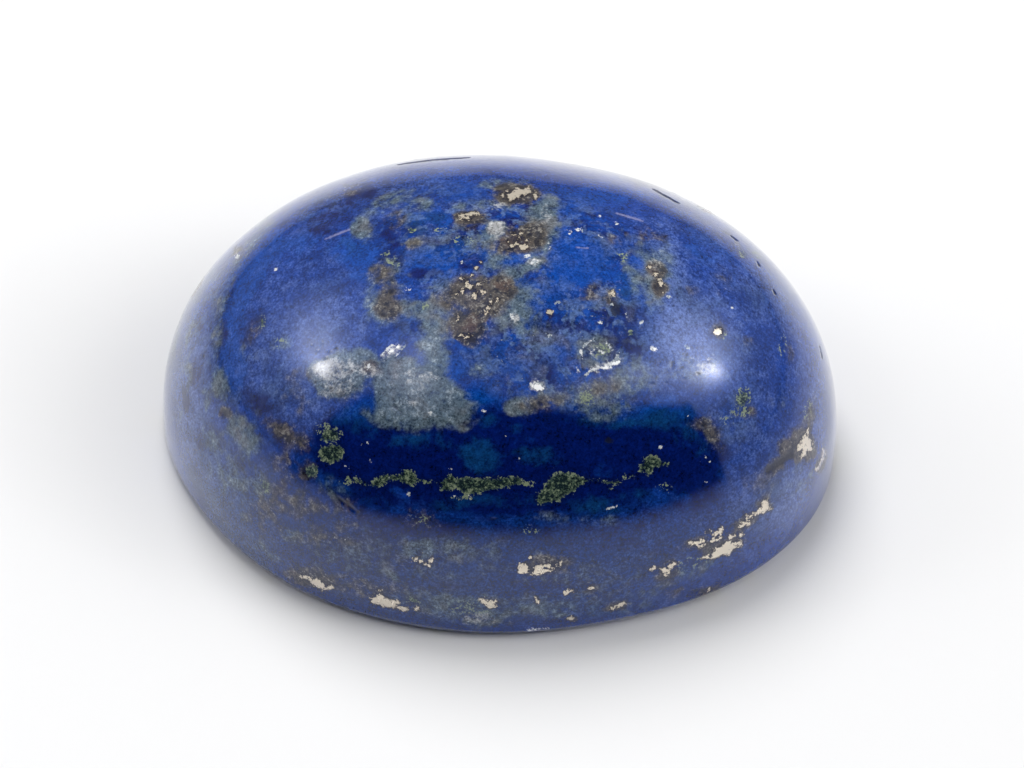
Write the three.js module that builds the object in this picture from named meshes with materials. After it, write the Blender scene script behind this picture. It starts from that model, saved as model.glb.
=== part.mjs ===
// A polished lapis lazuli cabochon: one oval, high-domed stone with a flat back.
// Units are millimetres, +Z is up. The back lies on z = 0, the long axis is X, and the
// origin is the centre of the stone's footprint box, on the back.
import * as THREE from "three";

// ---- driving dimensions ------------------------------------------------------------
const HALF_LENGTH = 12.375; // semi-axis of the plain oval along its long axis
const HALF_WIDTH = 9.439; // semi-axis of the plain oval across it
const HEIGHT = 10.77; // back to the crown of the dome
const GIRDLE_Z = 0.569; // height of the widest line above the back
const BACK_TUCK = 0.045; // share of the outline that the edge draws in between girdle and back
const PLAN_TURN = -2.3431; // degrees, turn of the plain oval in the stone's frame
const DOME_POWER_OUT = 1.939; // how full the dome stands near the girdle, easing to 2 at the crown
const DOME_POWER_UP = 2.3727; // how flat the dome is at the crown
// Cosine and sine change of DOME_POWER_OUT for 1, 2 and 3 waves around the stone, and of
// DOME_POWER_UP for 1 wave: the sides of a hand-cut dome aren't all equally full.
const DOME_OUT_WAVES = [
  [-0.3828, 0.1512],
  [-0.0027, 0.0381],
  [0.1385, 0.0603],
];
const DOME_UP_WAVE = [-0.0212, 0.2062];
const CROWN_SHIFT = [1.2218, 0.0236]; // offset of the crown from the middle of the back
const CROWN_SHIFT_POWER = 1.5; // how the offset grows with height
// Hand-cut departures of the outline from the plain oval: cosine and sine share of the
// radius for 1, 2, 3 ... waves around the stone.
const OUTLINE_WAVES = [
  [-0.00828, 0.00651],
  [0.00819, 0.0114],
  [0.0022, 0.01191],
  [-0.00033, -0.00758],
  [-0.00074, -0.00048],
  [0.00136, -0.0018],
  [-0.0015, 0.00121],
];

// ---- facet counts ------------------------------------------------------------------
const AROUND = 96; // facets around the outline
const EDGE_RINGS = 4; // rings from the back's rim up to the girdle
const DOME_RINGS = 20; // rings from the girdle to just below the crown
const BACK_CORE = 0.55; // size of the middle facet of the back, as a share of the rim

// Radius of the girdle outline at a plan angle.
function outline(phi) {
  const plain =
    1 / Math.hypot(Math.cos(phi) / HALF_LENGTH, Math.sin(phi) / HALF_WIDTH);
  let wave = 1;
  OUTLINE_WAVES.forEach(([c, s], i) => {
    wave += c * Math.cos((i + 1) * phi) + s * Math.sin((i + 1) * phi);
  });
  return plain * wave;
}

// A point of the skin: share is the radius as a share of the outline, z the height.
const turn = THREE.MathUtils.degToRad(PLAN_TURN);
function skin(phi, share, z) {
  const r = share * outline(phi);
  const lean = Math.pow(z / HEIGHT, CROWN_SHIFT_POWER);
  const x = r * Math.cos(phi) + CROWN_SHIFT[0] * lean;
  const y = r * Math.sin(phi) + CROWN_SHIFT[1] * lean;
  return [
    x * Math.cos(turn) - y * Math.sin(turn),
    x * Math.sin(turn) + y * Math.cos(turn),
    z,
  ];
}

// The edge between back and girdle: it draws in towards the back, as a smoothed arris does.
function edgeRing(k) {
  const l = k / EDGE_RINGS;
  return (phi) => skin(phi, 1 - BACK_TUCK * (1 - l) * (1 - l), GIRDLE_Z * l);
}

// The dome: tau runs from 0 at the girdle to a right angle at the crown.
function domeRing(tau) {
  return (phi) => {
    const ease = Math.cos(tau) * Math.cos(tau);
    let low = DOME_POWER_OUT;
    DOME_OUT_WAVES.forEach(([c, s], i) => {
      low += c * Math.cos((i + 1) * phi) + s * Math.sin((i + 1) * phi);
    });
    const out = 2 + (low - 2) * ease;
    const up =
      DOME_POWER_UP +
      ease *
        (DOME_UP_WAVE[0] * Math.cos(phi) + DOME_UP_WAVE[1] * Math.sin(phi));
    return skin(
      phi,
      Math.pow(Math.cos(tau), 2 / out),
      GIRDLE_Z +
        (HEIGHT - GIRDLE_Z) * Math.pow(Math.sin(tau), 2 / up),
    );
  };
}

function stoneGeometry() {
  const rings = [];
  for (let k = 0; k < EDGE_RINGS; k++) rings.push(edgeRing(k));
  for (let k = 0; k < DOME_RINGS; k++)
    rings.push(domeRing((k / DOME_RINGS) * (Math.PI / 2)));

  const points = [];
  for (const ring of rings)
    for (let j = 0; j < AROUND; j++)
      points.push(ring((j / AROUND) * 2 * Math.PI));
  const crown = points.push(skin(0, 0, HEIGHT)) - 1;

  const faces = [];
  const at = (ring, j) => ring * AROUND + (j % AROUND);
  for (let ring = 0; ring + 1 < rings.length; ring++)
    for (let j = 0; j < AROUND; j++) {
      faces.push([at(ring, j), at(ring, j + 1), at(ring + 1, j + 1)]);
      faces.push([at(ring, j), at(ring + 1, j + 1), at(ring + 1, j)]);
    }
  for (let j = 0; j < AROUND; j++)
    faces.push([at(rings.length - 1, j), at(rings.length - 1, j + 1), crown]);

  // The flat back: one large middle facet that spans the origin, and narrow ones to the rim.
  const third = AROUND / 3;
  const core = [0, 1, 2].map((i) => {
    const p = skin(((i * third) / AROUND) * 2 * Math.PI, BACK_CORE, 0);
    return points.push(p) - 1;
  });
  faces.push([core[0], core[2], core[1]]);
  for (let i = 0; i < 3; i++) {
    const from = i * third - third / 2;
    for (let j = 0; j < third; j++)
      faces.push([
        core[i],
        at(0, from + j + 1 + AROUND),
        at(0, from + j + AROUND),
      ]);
    const next = core[(i + 1) % 3];
    faces.push([core[i], next, at(0, from + third + AROUND)]);
  }

  // Centre the footprint box on the origin.
  const low = [Infinity, Infinity];
  const high = [-Infinity, -Infinity];
  for (const p of points)
    for (let axis = 0; axis < 2; axis++) {
      low[axis] = Math.min(low[axis], p[axis]);
      high[axis] = Math.max(high[axis], p[axis]);
    }
  const position = points.flatMap(([x, y, z]) => [
    x - (low[0] + high[0]) / 2,
    y - (low[1] + high[1]) / 2,
    z,
  ]);

  const geometry = new THREE.BufferGeometry();
  geometry.setAttribute(
    "position",
    new THREE.Float32BufferAttribute(position, 3),
  );
  geometry.setIndex(faces.flat());
  geometry.computeVertexNormals();
  return geometry;
}

const lapis = new THREE.MeshStandardMaterial({
  name: "lapis_lazuli",
  color: new THREE.Color(0.03, 0.07, 0.36),
  roughness: 0.12,
  metalness: 0,
});

const stone = new THREE.Mesh(stoneGeometry(), lapis);
stone.name = "lapis_cabochon";

const cabochon = new THREE.Group();
cabochon.add(stone);

export default cabochon;
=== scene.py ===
import math

import bpy
import numpy as np
from mathutils import Matrix, Vector
from mathutils.bvhtree import BVHTree


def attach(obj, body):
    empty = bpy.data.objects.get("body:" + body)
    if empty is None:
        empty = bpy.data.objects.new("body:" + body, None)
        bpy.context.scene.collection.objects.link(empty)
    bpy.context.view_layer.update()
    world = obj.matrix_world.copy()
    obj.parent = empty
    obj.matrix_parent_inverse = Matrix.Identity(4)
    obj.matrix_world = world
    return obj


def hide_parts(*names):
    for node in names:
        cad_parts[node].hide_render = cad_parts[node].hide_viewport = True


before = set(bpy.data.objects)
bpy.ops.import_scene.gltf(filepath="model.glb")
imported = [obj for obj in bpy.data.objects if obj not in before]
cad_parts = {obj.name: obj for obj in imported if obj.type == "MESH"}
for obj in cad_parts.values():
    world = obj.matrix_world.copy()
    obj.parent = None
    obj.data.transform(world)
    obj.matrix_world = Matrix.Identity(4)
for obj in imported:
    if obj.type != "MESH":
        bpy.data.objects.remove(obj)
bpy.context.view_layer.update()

rng = np.random.default_rng(20417)

# ======================================================================================
# The stone's shape, in millimetres in the row frame: the same skin as the CAD solid
# ======================================================================================
HALF_LENGTH, HALF_WIDTH, HEIGHT = 12.375, 9.439, 10.77
GIRDLE_Z, BACK_TUCK = 0.569, 0.045
TURN = math.radians(-2.3431)
POWER_OUT, POWER_UP = 1.939, 2.3727
OUT_WAVES = [(-0.3828, 0.1512), (-0.0027, 0.0381), (0.1385, 0.0603)]
UP_WAVE = (-0.0212, 0.2062)
CROWN_SHIFT = (1.2218, 0.0236)
OUTLINE_WAVES = [
    (-0.00828, 0.00651),
    (0.00819, 0.0114),
    (0.0022, 0.01191),
    (-0.00033, -0.00758),
    (-0.00074, -0.00048),
    (0.00136, -0.0018),
    (-0.0015, 0.00121),
]
MIDDLE = np.array([-0.07149491, -0.0671868, 0.0])  # of the CAD rings' footprint box


def outline(phi):
    r = 1 / np.hypot(np.cos(phi) / HALF_LENGTH, np.sin(phi) / HALF_WIDTH)
    w = np.ones_like(phi)
    for i, (c, s) in enumerate(OUTLINE_WAVES):
        w = w + c * np.cos((i + 1) * phi) + s * np.sin((i + 1) * phi)
    return r * w


def skin(phi, share, z):
    r = share * outline(phi)
    lean = (z / HEIGHT) ** 1.5
    x = r * np.cos(phi) + CROWN_SHIFT[0] * lean
    y = r * np.sin(phi) + CROWN_SHIFT[1] * lean
    c, s = math.cos(TURN), math.sin(TURN)
    return np.stack([x * c - y * s, x * s + y * c, z + 0 * x], -1) - MIDDLE


def edge_point(phi, up):
    return skin(phi, 1 - BACK_TUCK * (1 - up) ** 2, GIRDLE_Z * up)


def dome_point(phi, tau):
    ease = np.cos(tau) ** 2
    low = POWER_OUT
    for i, (c, s) in enumerate(OUT_WAVES):
        low = low + c * np.cos((i + 1) * phi) + s * np.sin((i + 1) * phi)
    out = 2 + (low - 2) * ease
    up = POWER_UP + ease * (UP_WAVE[0] * np.cos(phi) + UP_WAVE[1] * np.sin(phi))
    share = np.clip(np.cos(tau), 0, 1) ** (2 / out)
    z = GIRDLE_Z + (HEIGHT - GIRDLE_Z) * np.clip(np.sin(tau), 0, 1) ** (2 / up)
    return skin(phi, share, z)


# One radius runs over the whole skin: 0 at the crown, 1 at the girdle, RIM where the
# rounded arris starts, FLAT where the flat back starts, BACK_END at the middle of the back.
RIM, FLAT, BACK_END = 1.035, 1.045, 2.0
ARRIS_UP = 0.16  # share of the edge's height that the arris rounds off
_tau = np.linspace(math.pi / 2, 0, 2001)
_phis = np.arange(16) / 16 * 2 * math.pi
_line = np.stack([dome_point(np.full_like(_tau, p), _tau) for p in _phis])
_arc = np.concatenate(
    [[0], np.cumsum(np.linalg.norm(np.diff(_line, axis=1), axis=2).mean(0))]
)
_arc /= _arc[-1]


def surface(phi, r):
    """Points of the skin at plan angle phi and skin radius r."""
    out = np.zeros(phi.shape + (3,))
    m = r <= 1
    out[m] = dome_point(phi[m], np.interp(r[m], _arc, _tau))
    m = (r > 1) & (r <= RIM)
    t = (r[m] - 1) / (RIM - 1)
    out[m] = edge_point(phi[m], 1 - t * (1 - ARRIS_UP))
    m = (r > RIM) & (r <= FLAT)
    t = ((r[m] - RIM) / (FLAT - RIM))[:, None]
    a = edge_point(phi[m], np.full(m.sum(), ARRIS_UP))
    b = edge_point(phi[m], np.zeros(m.sum()))
    c = skin(phi[m], np.full(m.sum(), 1 - BACK_TUCK - 0.009), np.zeros(m.sum()))
    out[m] = a * (1 - t) ** 2 + 2 * b * t * (1 - t) + c * t**2
    m = r > FLAT
    t = (BACK_END - r[m]) / (BACK_END - FLAT)
    out[m] = skin(phi[m], (1 - BACK_TUCK - 0.009) * t, np.zeros(m.sum()))
    return out


# ======================================================================================
# Camera: the photo's view. Photo pixels are turned into places on the stone through it.
# ======================================================================================
CAM = np.array([14.55755393, -133.12552829, 160.01393588])
ELEVATION, AZIMUTH = math.radians(49.492), math.radians(6.0)
LENS = 198.194
FOCAL_PX = LENS / 36 * 1024
_rz = np.array(
    [
        [math.cos(AZIMUTH), -math.sin(AZIMUTH), 0],
        [math.sin(AZIMUTH), math.cos(AZIMUTH), 0],
        [0, 0, 1],
    ]
)
RIGHT = _rz @ np.array([1.0, 0, 0])
UPWARD = _rz @ np.array([0, math.sin(ELEVATION), math.cos(ELEVATION)])
BACKWARD = _rz @ np.array([0, -math.cos(ELEVATION), math.sin(ELEVATION)])


def to_pixels(points):
    d = points - CAM
    depth = -(d @ BACKWARD)
    u = 512 + FOCAL_PX * (d @ RIGHT) / depth
    v = 384 - FOCAL_PX * (d @ UPWARD) / depth
    return np.stack([u, v], -1)


PX_PER_MM = 26.8


# ======================================================================================
# Mesh: a square grid bent onto a disc in the middle, rings outside it, then local splits
# ======================================================================================
def disc_grid(n):
    """Vertices (disc x, y in -1..1) and triangles of an n by n grid bent onto a disc, and its rim in order of angle."""
    s = np.linspace(-1, 1, n + 1)
    a, b = np.meshgrid(s, s, indexing="ij")
    wide = np.abs(a) >= np.abs(b)
    safe_a, safe_b = np.where(a == 0, 1, a), np.where(b == 0, 1, b)
    r = np.where(wide, a, b)
    ang = np.where(wide, math.pi / 4 * b / safe_a, math.pi / 2 - math.pi / 4 * a / safe_b)
    xy = np.stack([r * np.cos(ang), r * np.sin(ang)], -1).reshape(-1, 2)
    i, j = np.meshgrid(np.arange(n), np.arange(n), indexing="ij")
    v = (i * (n + 1) + j).ravel()
    q = np.stack([v, v + n + 1, v + n + 2, v + 1], 1)
    flip = (((i < n // 2) ^ (j < n // 2)).ravel())[:, None]
    t1 = np.where(flip, q[:, [0, 1, 3]], q[:, [0, 1, 2]])
    t2 = np.where(flip, q[:, [1, 2, 3]], q[:, [0, 2, 3]])
    k = np.arange(n + 1)
    rim = np.concatenate(
        [
            k[:-1] * (n + 1),
            n * (n + 1) + k[:-1],
            (n - k[:-1]) * (n + 1) + n,
            n - k[:-1],
        ]
    )
    rim = np.unique(rim)
    order = np.argsort(np.arctan2(xy[rim, 1], xy[rim, 0]) % (2 * math.pi - 1e-9))
    return xy, np.concatenate([t1, t2]), rim[order]


CORE = 0.5  # skin radius of the crown's grid
CORE_CELLS = 92
DOME_RINGS = 46
BACK_CELLS = 46


def build_base():
    """Disc coordinates (skin radius times the plan direction, and side) and triangles of the whole skin."""
    xy, tris, rim = disc_grid(CORE_CELLS)
    coords = [np.column_stack([xy * CORE, np.zeros(len(xy))])]
    faces = [tris]
    count = len(xy)
    angles = np.arctan2(xy[rim, 1], xy[rim, 0]) % (2 * math.pi)
    ring = rim
    n = len(rim)
    radii = list(CORE + (1 - CORE) * np.arange(1, DOME_RINGS + 1) / DOME_RINGS)
    radii += [1 + (RIM - 1) * t for t in (0.17, 0.34, 0.5, 0.66, 0.82, 1.0)]
    radii += [RIM + (FLAT - RIM) * t for t in (0.25, 0.5, 0.75, 1.0)]
    for r in radii:
        new = count + np.arange(n)
        coords.append(
            np.column_stack([r * np.cos(angles), r * np.sin(angles), np.zeros(n)])
        )
        a, b = ring, np.roll(ring, -1)
        c, d = new, np.roll(new, -1)
        faces += [np.stack([a, c, d], 1), np.stack([a, d, b], 1)]
        ring, count = new, count + n
    # the flat back: half as many points from the first ring inward
    half = angles[::2]
    m = len(half)
    r = FLAT + 0.03
    new = count + np.arange(m)
    coords.append(np.column_stack([r * np.cos(half), r * np.sin(half), np.ones(m)]))
    a, mid, b = ring[::2], ring[1::2], np.roll(ring[::2], -1)
    c, d = new, np.roll(new, -1)
    faces += [np.stack([a, c, mid], 1), np.stack([mid, c, d], 1), np.stack([mid, d, b], 1)]
    ring, count = new, count + m
    back_core = 1.35
    for r in np.linspace(FLAT + 0.03, back_core, 9)[1:]:
        new = count + np.arange(m)
        coords.append(np.column_stack([r * np.cos(half), r * np.sin(half), np.ones(m)]))
        a, b = ring, np.roll(ring, -1)
        c, d = new, np.roll(new, -1)
        faces += [np.stack([a, c, d], 1), np.stack([a, d, b], 1)]
        ring, count = new, count + m
    xy, tris, rim = disc_grid(BACK_CELLS)
    rr = np.hypot(xy[:, 0], xy[:, 1])
    ang = np.arctan2(xy[:, 1], xy[:, 0])
    r = BACK_END - (BACK_END - back_core) * rr
    core = np.column_stack([r * np.cos(ang), r * np.sin(ang), np.ones(len(xy))])
    take = np.full(len(xy), -1)
    take[rim] = ring
    inner = np.flatnonzero(take < 0)
    take[inner] = count + np.arange(len(inner))
    coords.append(core[inner])
    faces.append(take[tris][:, ::-1])
    return np.concatenate(coords), np.concatenate(faces)


def place(coords):
    r = np.hypot(coords[:, 0], coords[:, 1])
    phi = np.arctan2(coords[:, 1], coords[:, 0])
    return surface(phi, r)


def split(coords, faces, chosen):
    """Splits the chosen triangles in four, and their neighbours so that no edge hangs."""
    edges = np.sort(
        np.stack([faces[:, [0, 1]], faces[:, [1, 2]], faces[:, [2, 0]]], 1), axis=2
    )
    key = edges[:, :, 0].astype(np.int64) * len(coords) + edges[:, :, 1]
    marked = np.unique(key[chosen])
    at = np.searchsorted(marked, key)
    at = np.clip(at, 0, len(marked) - 1)
    cut = marked[at] == key
    a, b = marked // len(coords), marked % len(coords)
    ra, rb = np.hypot(*coords[a, :2].T), np.hypot(*coords[b, :2].T)
    mid = (coords[a] + coords[b]) / 2
    # keep the middle's skin radius exact, so that rings stay on the rings
    rm = np.hypot(mid[:, 0], mid[:, 1])
    want = (ra + rb) / 2
    near = (ra > CORE) | (rb > CORE)
    mid[near, :2] *= (want / np.maximum(rm, 1e-9))[near, None]
    mid[:, 2] = np.maximum(coords[a, 2], coords[b, 2])
    m = len(coords) + at
    made = [faces[~cut.any(1)]]
    f, c = faces, cut
    k = c.sum(1)
    s = k == 3
    v, w = f[s], m[s]
    made += [
        np.stack([v[:, 0], w[:, 0], w[:, 2]], 1),
        np.stack([w[:, 0], v[:, 1], w[:, 1]], 1),
        np.stack([w[:, 2], w[:, 1], v[:, 2]], 1),
        np.stack([w[:, 0], w[:, 1], w[:, 2]], 1),
    ]
    for e in range(3):
        o, p, q = e, (e + 1) % 3, (e + 2) % 3
        s = (k == 1) & c[:, e]
        v, w = f[s], m[s][:, e]
        made += [
            np.stack([v[:, o], w, v[:, q]], 1),
            np.stack([w, v[:, p], v[:, q]], 1),
        ]
        s = (k == 2) & ~c[:, e]  # cut on p-q and q-o
        v, wp, wq = f[s], m[s][:, p], m[s][:, q]
        made += [
            np.stack([v[:, o], v[:, p], wp], 1),
            np.stack([v[:, o], wp, wq], 1),
            np.stack([wq, wp, v[:, q]], 1),
        ]
    return np.concatenate([coords, mid]), np.concatenate(made)


def normals_of(points, faces):
    n = np.zeros_like(points)
    fn = np.cross(
        points[faces[:, 1]] - points[faces[:, 0]],
        points[faces[:, 2]] - points[faces[:, 0]],
    )
    for i in range(3):
        for k in range(3):
            n[:, k] += np.bincount(faces[:, i], fn[:, k], len(points))
    return n / np.maximum(np.linalg.norm(n, axis=1, keepdims=True), 1e-15)


coords, faces = build_base()
points = place(coords)
volume = (
    np.einsum("ij,ij->i", points[faces[:, 0]], np.cross(points[faces[:, 1]], points[faces[:, 2]])).sum() / 6
)
if volume < 0:
    faces = faces[:, ::-1]
tree = BVHTree.FromPolygons(points.tolist(), faces.tolist())


# ======================================================================================
# Minerals: where each grain, cloud and vein lies. Places are pixels of the photo's
# 1024 x 768 view, sizes are half lengths in those pixels, and angles turn clockwise.
# ======================================================================================
class Anchor:
    """A place on the stone with a flat map around it in photo pixels."""

    def __init__(self, centre, normal, jac=None):
        self.c, self.n = np.array(centre), np.array(normal)
        side = RIGHT - self.n * (RIGHT @ self.n)
        self.t1 = side / np.linalg.norm(side)
        self.t2 = np.cross(self.n, self.t1)
        if jac is None:
            step = 0.02
            p0 = to_pixels(self.c)
            jac = np.stack(
                [
                    (to_pixels(self.c + self.t1 * step) - p0) / step,
                    (to_pixels(self.c + self.t2 * step) - p0) / step,
                ],
                1,
            )
            u, s, vt = np.linalg.svd(jac)
            s[1] = max(s[1], 0.36 * s[0])
            jac = u @ np.diag(s) @ vt
        self.jac = jac

    def near(self, cloud, reach):
        """Indices of the points within reach pixels and their offsets in pixels."""
        limit = reach / (0.36 * PX_PER_MM)
        lo, hi = np.searchsorted(cloud.xs, (self.c[0] - limit, self.c[0] + limit))
        idx = cloud.order[lo:hi]
        idx = idx[np.abs(cloud.pts[idx, 1] - self.c[1]) < limit]
        d = cloud.pts[idx] - self.c
        ok = ((d * d).sum(1) < limit * limit) & ((cloud.nrm[idx] @ self.n) > 0.3)
        idx, d = idx[ok], d[ok]
        uv = np.stack([d @ self.t1, d @ self.t2], 1) @ self.jac.T
        keep = (uv * uv).sum(1) < reach * reach
        return idx[keep], uv[keep]


class PointCloud:
    """Points and normals, sorted along x for quick searches."""

    def __init__(self, pts, nrm):
        self.pts, self.nrm = pts, nrm
        self.order = np.argsort(pts[:, 0])
        self.xs = pts[self.order, 0]


def anchor_at(x, y):
    ray = ((x - 512) / FOCAL_PX) * RIGHT - ((y - 384) / FOCAL_PX) * UPWARD - BACKWARD
    hit, normal, _, _ = tree.ray_cast(Vector(CAM), Vector(ray).normalized())
    if hit is None:  # just outside the outline: take the closest skin
        far = CAM + ray * 209.0
        hit, normal, _, _ = tree.find_nearest(Vector(far))
    return Anchor(hit, normal)


def oval(uv, a, b, deg):
    t = math.radians(deg)
    x = (uv[:, 0] * math.cos(t) + uv[:, 1] * math.sin(t)) / a
    y = (-uv[:, 0] * math.sin(t) + uv[:, 1] * math.cos(t)) / b
    return np.hypot(x, y)


def to_segment(uv, p, q):
    """Distance to the segment and how far along it."""
    d = q - p
    t = np.clip(((uv - p) @ d) / max(d @ d, 1e-9), 0, 1)
    return np.linalg.norm(uv - p - t[:, None] * d, axis=1), t


def in_polygon(uv, poly):
    inside = np.zeros(len(uv), bool)
    dist = np.full(len(uv), 1e9)
    for p, q in zip(poly, np.roll(poly, -1, 0)):
        dist = np.minimum(dist, to_segment(uv, p, q)[0])
        if abs(q[1] - p[1]) > 1e-9:
            cross = ((p[1] > uv[:, 1]) != (q[1] > uv[:, 1])) & (
                uv[:, 0] < (q[0] - p[0]) * (uv[:, 1] - p[1]) / (q[1] - p[1]) + p[0]
            )
            inside ^= cross
    return np.where(inside, dist, -dist)


class Marks:
    """Grains have a field of signed distance in pixels, clouds a field of density from 0 to 1."""

    OUTSIDE = -7.0

    def __init__(self):
        self.grains, self.clouds = {}, {}

    def grain(self, kind, x, y, a, b=None, deg=0):
        self.grains.setdefault(kind, []).append((anchor_at(x, y), "oval", (a, b or a, deg)))

    def patch(self, kind, pts):
        pts = np.array(pts, float)
        c = (pts.min(0) + pts.max(0)) / 2
        self.grains.setdefault(kind, []).append((anchor_at(*c), "poly", pts - c))

    def line(self, kind, pts):
        """pts: (x, y, half width)"""
        for p, q in zip(pts, pts[1:]):
            c = np.array([(p[0] + q[0]) / 2, (p[1] + q[1]) / 2])
            self.grains.setdefault(kind, []).append(
                (
                    anchor_at(*c),
                    "seg",
                    (np.array(p[:2]) - c, np.array(q[:2]) - c, p[2], q[2]),
                )
            )

    def cloud(self, kind, x, y, a, b=None, deg=0, much=1.0, soft=0.5):
        self.clouds.setdefault(kind, []).append(
            (anchor_at(x, y), "oval", (a, b or a, deg), much, soft)
        )

    def band(self, kind, pts, much=1.0, soft=0.5):
        """A cloudy streak. pts: (x, y, half width)"""
        for p, q in zip(pts, pts[1:]):
            c = np.array([(p[0] + q[0]) / 2, (p[1] + q[1]) / 2])
            self.clouds.setdefault(kind, []).append(
                (
                    anchor_at(*c),
                    "seg",
                    (np.array(p[:2]) - c, np.array(q[:2]) - c, p[2], q[2]),
                    much,
                    soft,
                )
            )

    @staticmethod
    def reach(form, spec):
        if form == "oval":
            return max(spec[0], spec[1])
        if form == "poly":
            return float(np.abs(spec).max()) * 1.45
        return float(np.linalg.norm(spec[1] - spec[0])) / 2 + max(spec[2], spec[3])

    def distance(self, kind, cloud):
        out = np.full(len(cloud.pts), self.OUTSIDE)
        for anchor, form, spec in self.grains.get(kind, []):
            idx, uv = anchor.near(cloud, self.reach(form, spec) + 8)
            if not len(idx):
                continue
            if form == "oval":
                s = min(spec[0], spec[1]) * (1 - oval(uv, *spec))
            elif form == "poly":
                s = in_polygon(uv, spec)
            else:
                d, t = to_segment(uv, spec[0], spec[1])
                s = spec[2] + (spec[3] - spec[2]) * t - d
            out[idx] = np.maximum(out[idx], s)
        return np.clip(out, self.OUTSIDE, 12)

    def density(self, kind, cloud):
        left = np.ones(len(cloud.pts))
        for anchor, form, spec, much, soft in self.clouds.get(kind, []):
            idx, uv = anchor.near(cloud, self.reach(form, spec) * (1 + soft) + 4)
            if not len(idx):
                continue
            if form == "oval":
                q = oval(uv, *spec)
            else:
                d, t = to_segment(uv, spec[0], spec[1])
                q = d / (spec[2] + (spec[3] - spec[2]) * t)
            x = np.clip((1 + soft - q) / (2 * soft), 0, 1)
            v = x * x * (3 - 2 * x)
            left[idx] *= 1 - much * v
        return 1 - left


M = Marks()

# ---- pyrite: bright metal grains with a thin dark border ------------------------------
M.patch("pyrite", [(507, 198), (509, 193), (514, 190), (518, 187), (523, 188), (529, 187), (531, 191), (527, 194), (522, 195), (517, 197), (511, 201)])
M.grain("pyrite", 535.5, 195, 1.4, 2.6)
M.grain("pyrite", 507, 191, 1.6, 1.3)
M.grain("pyrite", 503, 194, 1.3, 1.2)
M.grain("pyrite", 464, 217, 4.2, 2.2, 25)
M.line("pyrite", [(466, 214, 1.2), (478, 213, 0.9)])
for x, y, r in [(516, 243, 1.6), (522, 246, 2.0), (525, 247, 1.5), (519, 238, 1.2), (512, 246, 1.3), (508, 241, 1.2), (527, 240, 1.2), (514, 233, 1.0), (521, 233, 1.1)]:
    M.grain("pyrite", x, y, r)
for x, y, a, b, d in [(470, 287, 3.4, 2.4, 20), (467, 283, 2.4, 2.0, 60), (475, 296, 1.8, 2.8, 10), (463, 279, 2.0, 1.6, 0), (462, 291, 2.2, 1.8, 0), (483, 292, 1.5, 1.4, 0), (478, 284, 1.6, 1.4, 0), (457, 294, 1.5, 1.3, 0), (486, 312, 1.8, 1.4, 0), (488, 308, 1.3, 1.2, 0), (491, 303, 1.2, 1.1, 0), (497, 299, 1.3, 1.1, 0), (476, 268, 1.6, 1.3, 0), (473, 275, 1.2, 1.2, 0), (461, 335, 2.2, 1.4, 0), (468, 336, 2.4, 1.2, 0), (458, 318, 1.2, 1.6, 0), (481, 262, 1.2, 1.1, 0)]:
    M.grain("pyrite", x, y, a * 0.75, b * 0.75, d)
M.patch("pyrite", [(715, 334), (716, 329), (720, 327), (723, 330), (722, 334), (718, 336)])
M.patch("pyrite", [(797, 447), (800, 442), (804, 436), (806, 434), (810, 439), (812, 441), (811, 449), (806, 452), (805, 457), (801, 456), (803, 449), (799, 450)])
M.grain("pyrite", 808, 430.5, 1.4, 1.8)
M.line("pyrite", [(824, 450, 0.9), (822, 459, 1.2), (817, 469, 0.8)])
M.patch("pyrite", [(756, 513), (760, 508), (762, 502), (765, 500), (768, 502), (767, 506), (772, 509), (771, 511), (766, 509), (762, 513)])
for x, y, a, b, d in [(755, 513, 1.5, 1.2, 0), (750, 517, 1.2, 1.0, 0), (745, 515, 1.3, 1.1, 0), (747, 519, 1.1, 1.1, 0), (735, 535.5, 1.3, 1.1, 0), (741, 535, 1.8, 1.0, -20), (731, 537, 2.0, 1.5, -20), (740, 543, 1.3, 2.4, 20), (706, 557, 2.6, 1.6, -10), (702, 546, 2.6, 1.3, -25), (709, 531, 2.4, 1.4, -20)]:
    M.grain("pyrite", x, y, a, b, d)
M.patch("pyrite", [(739, 527), (742, 523), (746, 521), (749, 520), (749, 523), (745, 526), (741, 528)])
M.line("pyrite", [(712, 541, 1.3), (714, 536, 1.5), (720, 531, 1.9), (721, 528, 1.5)])
M.line("pyrite", [(714, 540, 1.2), (721, 538, 1.1)])
M.line("pyrite", [(690, 543, 2.0), (697, 543, 1.6), (703, 541, 1.4)])
M.patch("pyrite", [(710, 558), (714, 550), (719, 547), (724, 543), (730, 542), (737, 544), (736, 548), (731, 551), (729, 555), (722, 555), (716, 558), (713, 560)])
M.line("pyrite", [(650, 569.5, 1.2), (655, 567.5, 1.4)])
M.patch("pyrite", [(669, 565), (673, 562), (677, 563), (674, 566), (670, 568), (668, 568)])
M.line("pyrite", [(661, 569, 1.5), (667, 571, 1.7), (669, 573, 1.3)])
M.grain("pyrite", 665.5, 575, 1.5, 1.2)
M.patch("pyrite", [(518, 569), (520, 565), (525, 564), (529, 567), (528, 571), (524, 573), (520, 572)])
M.patch("pyrite", [(533, 571), (536, 567), (540, 565), (544, 567), (543, 569), (548, 570), (543, 573), (536, 573), (532, 574)])
for x, y, a, b in [(549, 566, 2.2, 1.2), (553, 568, 1.4, 1.1), (556, 565, 1.1, 1.0), (560, 564, 1.0, 1.5), (530, 558, 1.0, 1.0), (551, 570, 1.3, 1.1)]:
    M.grain("pyrite", x, y, a, b)
M.line("pyrite", [(566, 593, 1.2), (573, 590, 1.0)])
M.grain("pyrite", 590.5, 588, 2.3, 2.0)
M.line("pyrite", [(612, 609, 1.3), (618, 607, 1.7), (624, 603, 1.2)])
M.grain("pyrite", 572.5, 619, 2.6, 1.4)
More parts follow.
